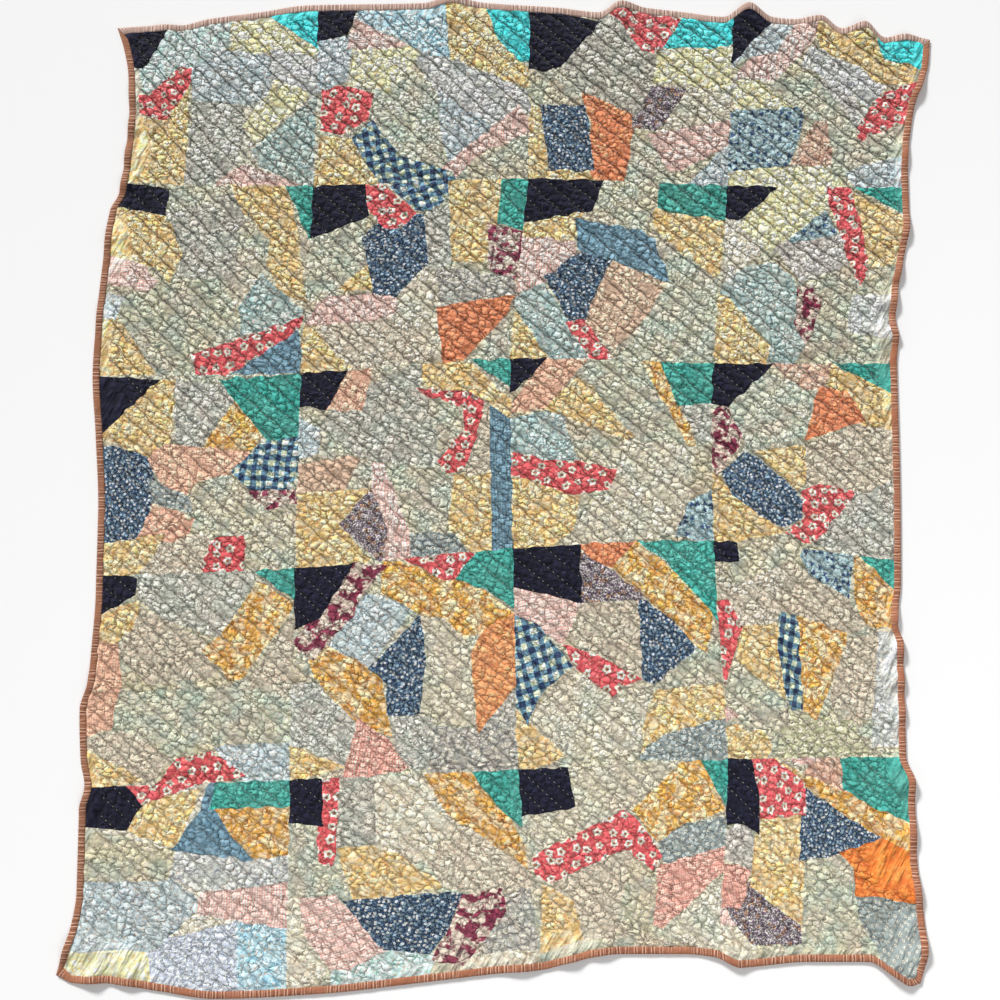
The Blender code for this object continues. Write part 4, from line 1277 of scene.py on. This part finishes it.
# %% Pinstripes and the folded strip
# Woven stripes that have washed unevenly: some show as sharp ticks and some are gone.
FOLD = (  # (in from the edge, height) in mm, from the face round to the back
    (14.6, 4.2), (14.1, 5.5), (12.6, 6.2), (9, 6.6), (5, 6.4), (2, 5.8), (0.5, 4.6),
    (0.1, 3.3), (0.5, 1.8), (2, 0.7), (6, 0.25), (12, 0.25), (14, 0.5), (14.4, 1.2),
)
step_along = 4 * MM
MITRE = 30 * MM  # how far from a corner the folds start to slant


def striped(name, ground, pale, dark):
    c = Cloth("cotton_" + name)
    colour = over(c, blots(c, 90, 0.5, 0.2), ground, dark, 0.3)
    far = c.add("SeparateXYZ", c.cut).node.outputs[0]
    slip = c.add("Math MULTIPLY", blots(c, 20, 0.5, 0.3), 0.3)
    for pitch, share, tone, much in ((5.6, 0.28, pale, 0.9), (8.3, 0.3, dark, 0.85)):
        at = c.add("Math MULTIPLY_ADD", far, 1000 / pitch, slip)
        near = c.add("Math LESS_THAN", c.add("Math FRACT", at), share)
        some = c.add("Math MULTIPLY", near, blots(c, 60, 0.62, 0.1))
        colour = over(c, some, colour, tone, much)
    height = c.add("Math MULTIPLY", blots(c, 12, 0.5, 0.35, detail=3.0), 1.6 * MM)
    return c.end(colour, height)


tan = striped("tan_pinstripe", "C4A698", "EADCD0", "8E6456")
rust = striped("rust_pinstripe", "B27456", "E2BFA6", "7A4230")
# the left binding is the rust pinstripe again, its colours painted darker as shade
shaded_rust = striped("rust_pinstripe_shaded", "A26E52", "D8B49C", "6A3C2C")


print("the strip is folded at", len(FOLD), "places")


# %% Binding each edge
def bind(side, material, seed):
    """The binding of one edge, and the (width, length) of its strip when flat."""
    blocks_along = ACROSS if side in ("top", "bottom") else DOWN
    stations = round(blocks_along * BLOCK / step_along)
    t = np.linspace(0, blocks_along, stations + 1)
    line = edge_point(side, t)
    into = np.array(INWARD[side], float)
    along = np.array({"top": (1, 0), "bottom": (1, 0), "left": (0, -1), "right": (0, -1)}[side])
    mitre = [np.clip(1 - far * BLOCK / MITRE, 0, 1) for far in (t, blocks_along - t)]
    way = into + along * (mitre[0] - mitre[1])[:, None]
    step = np.linalg.norm(np.diff(line, axis=0), axis=1)
    far = np.concatenate([[0], np.cumsum(step)])
    run = np.cumsum([0] + [math.dist(p, q) for p, q in zip(FOLD, FOLD[1:])]) * MM
    lift = lifted(line + into * 3 * MM)
    s = np.column_stack([far, np.full(len(far), seed)])
    points, uv = [], []  # the strip puckers on top, and lies still underneath
    for (depth, height), across in zip(FOLD, run):
        pucker = 0.35 * drift(s + (0, depth * MM), 0.022, seed) + 0.25 * drift(s, 0.012, seed + 9)
        top = 1.0 if height > 3 else 0.0
        z = (height + pucker * top * min(depth / 4, 1)) * MM + lift * (1 - depth / 200)
        deep = (depth + 0.3 * pucker * top * (depth > 12)) * MM
        points.append(np.column_stack([line + way * deep[:, None], z]))
        uv.append(np.column_stack([far, np.full(len(far), across)]))
    points, uv = np.stack(points, 1), np.stack(uv, 1)
    piece = cloth_grid(f"{side}_binding", material, points, uv, side in ("top", "right"))
    return piece, (float(run[-1]), float(far[-1]))


bindings = {
    side: bind(side, cloth, seed)
    for side, cloth, seed in (
        ("top", tan, 21), ("right", rust, 22), ("bottom", rust, 23), ("left", shaded_rust, 24)
    )
}
print({side: [round(v, 3) for v in flat] for side, (_, flat) in bindings.items()})

# %% [markdown]
# ## 9. What each piece is
# Every piece hides the imported part it stands for, and moves with the root. A fold or a
# ripple takes up cloth, so the flat size of a strip, which `bind` gives back, is the size
# that is cut, not the size on the floor.

# %% Declaring the pieces
for piece in face:
    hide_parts("quilt")
for piece in (thread, backing):
    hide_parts("quilt")
for side, (piece, flat) in bindings.items():
    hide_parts(f"binding_{side}")
for piece in (*face, thread, backing, *(p for p, _ in bindings.values())):
    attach(piece, "root")
print(len(face) + 6, "pieces declared")

# %% [markdown]
# ## 10. Floor, light and camera
# A quilt is shown on a pale floor from straight above. A soft sky alone would flatten it,
# so a low key light from the upper left brings out the puffs, and a weak broad lamp
# brightens the lower end. The camera hangs over the quilt and looks very nearly straight
# down.

# %% Floor, lamps and camera
bpy.ops.mesh.primitive_plane_add(size=30, location=(0, 0, -0.0005))
floor = bpy.context.object
floor.name = "floor"
floor_paint = bpy.data.materials.new("white_floor")
floor_paint.use_nodes = True
matt = floor_paint.node_tree.nodes["Principled BSDF"]
matt.inputs["Base Color"].default_value = paint("FAFAFA")
matt.inputs["Roughness"].default_value = 0.9
floor.data.materials.append(floor_paint)


def add_lamp(name, kind, place, energy, **settings):
    data = bpy.data.lights.new(name, kind)
    data.energy = energy
    for setting, value in settings.items():
        setattr(data, setting, value)
    lamp = bpy.data.objects.new(name, data)
    lamp.location = place
    lamp.rotation_euler = (-lamp.location).to_track_quat("-Z", "Y").to_euler()
    bpy.context.scene.collection.objects.link(lamp)
    return lamp


key = add_lamp("key", "SUN", (-2.2, 3.7, 2.4), 3.55, angle=math.radians(11))
fill = add_lamp("fill", "AREA", (0.9, -1.9, 2.9), 20, shape="DISK", size=1.8)

camera_data = bpy.data.cameras.new("camera")
camera_data.lens, camera_data.sensor_width = 50, 36
camera = bpy.data.objects.new("camera", camera_data)
camera.location = (-0.017, -0.335, 2.80)
camera.rotation_euler = (math.radians(6), 0, 0)
bpy.context.scene.collection.objects.link(camera)

scene = bpy.context.scene
scene.camera = camera
scene.view_settings.view_transform = "Standard"
scene.world = bpy.data.worlds.new("sky")
scene.world.use_nodes = True
sky = scene.world.node_tree.nodes["Background"]
sky.inputs["Color"].default_value = paint("FFFFFF")
sky.inputs["Strength"].default_value = 0.34
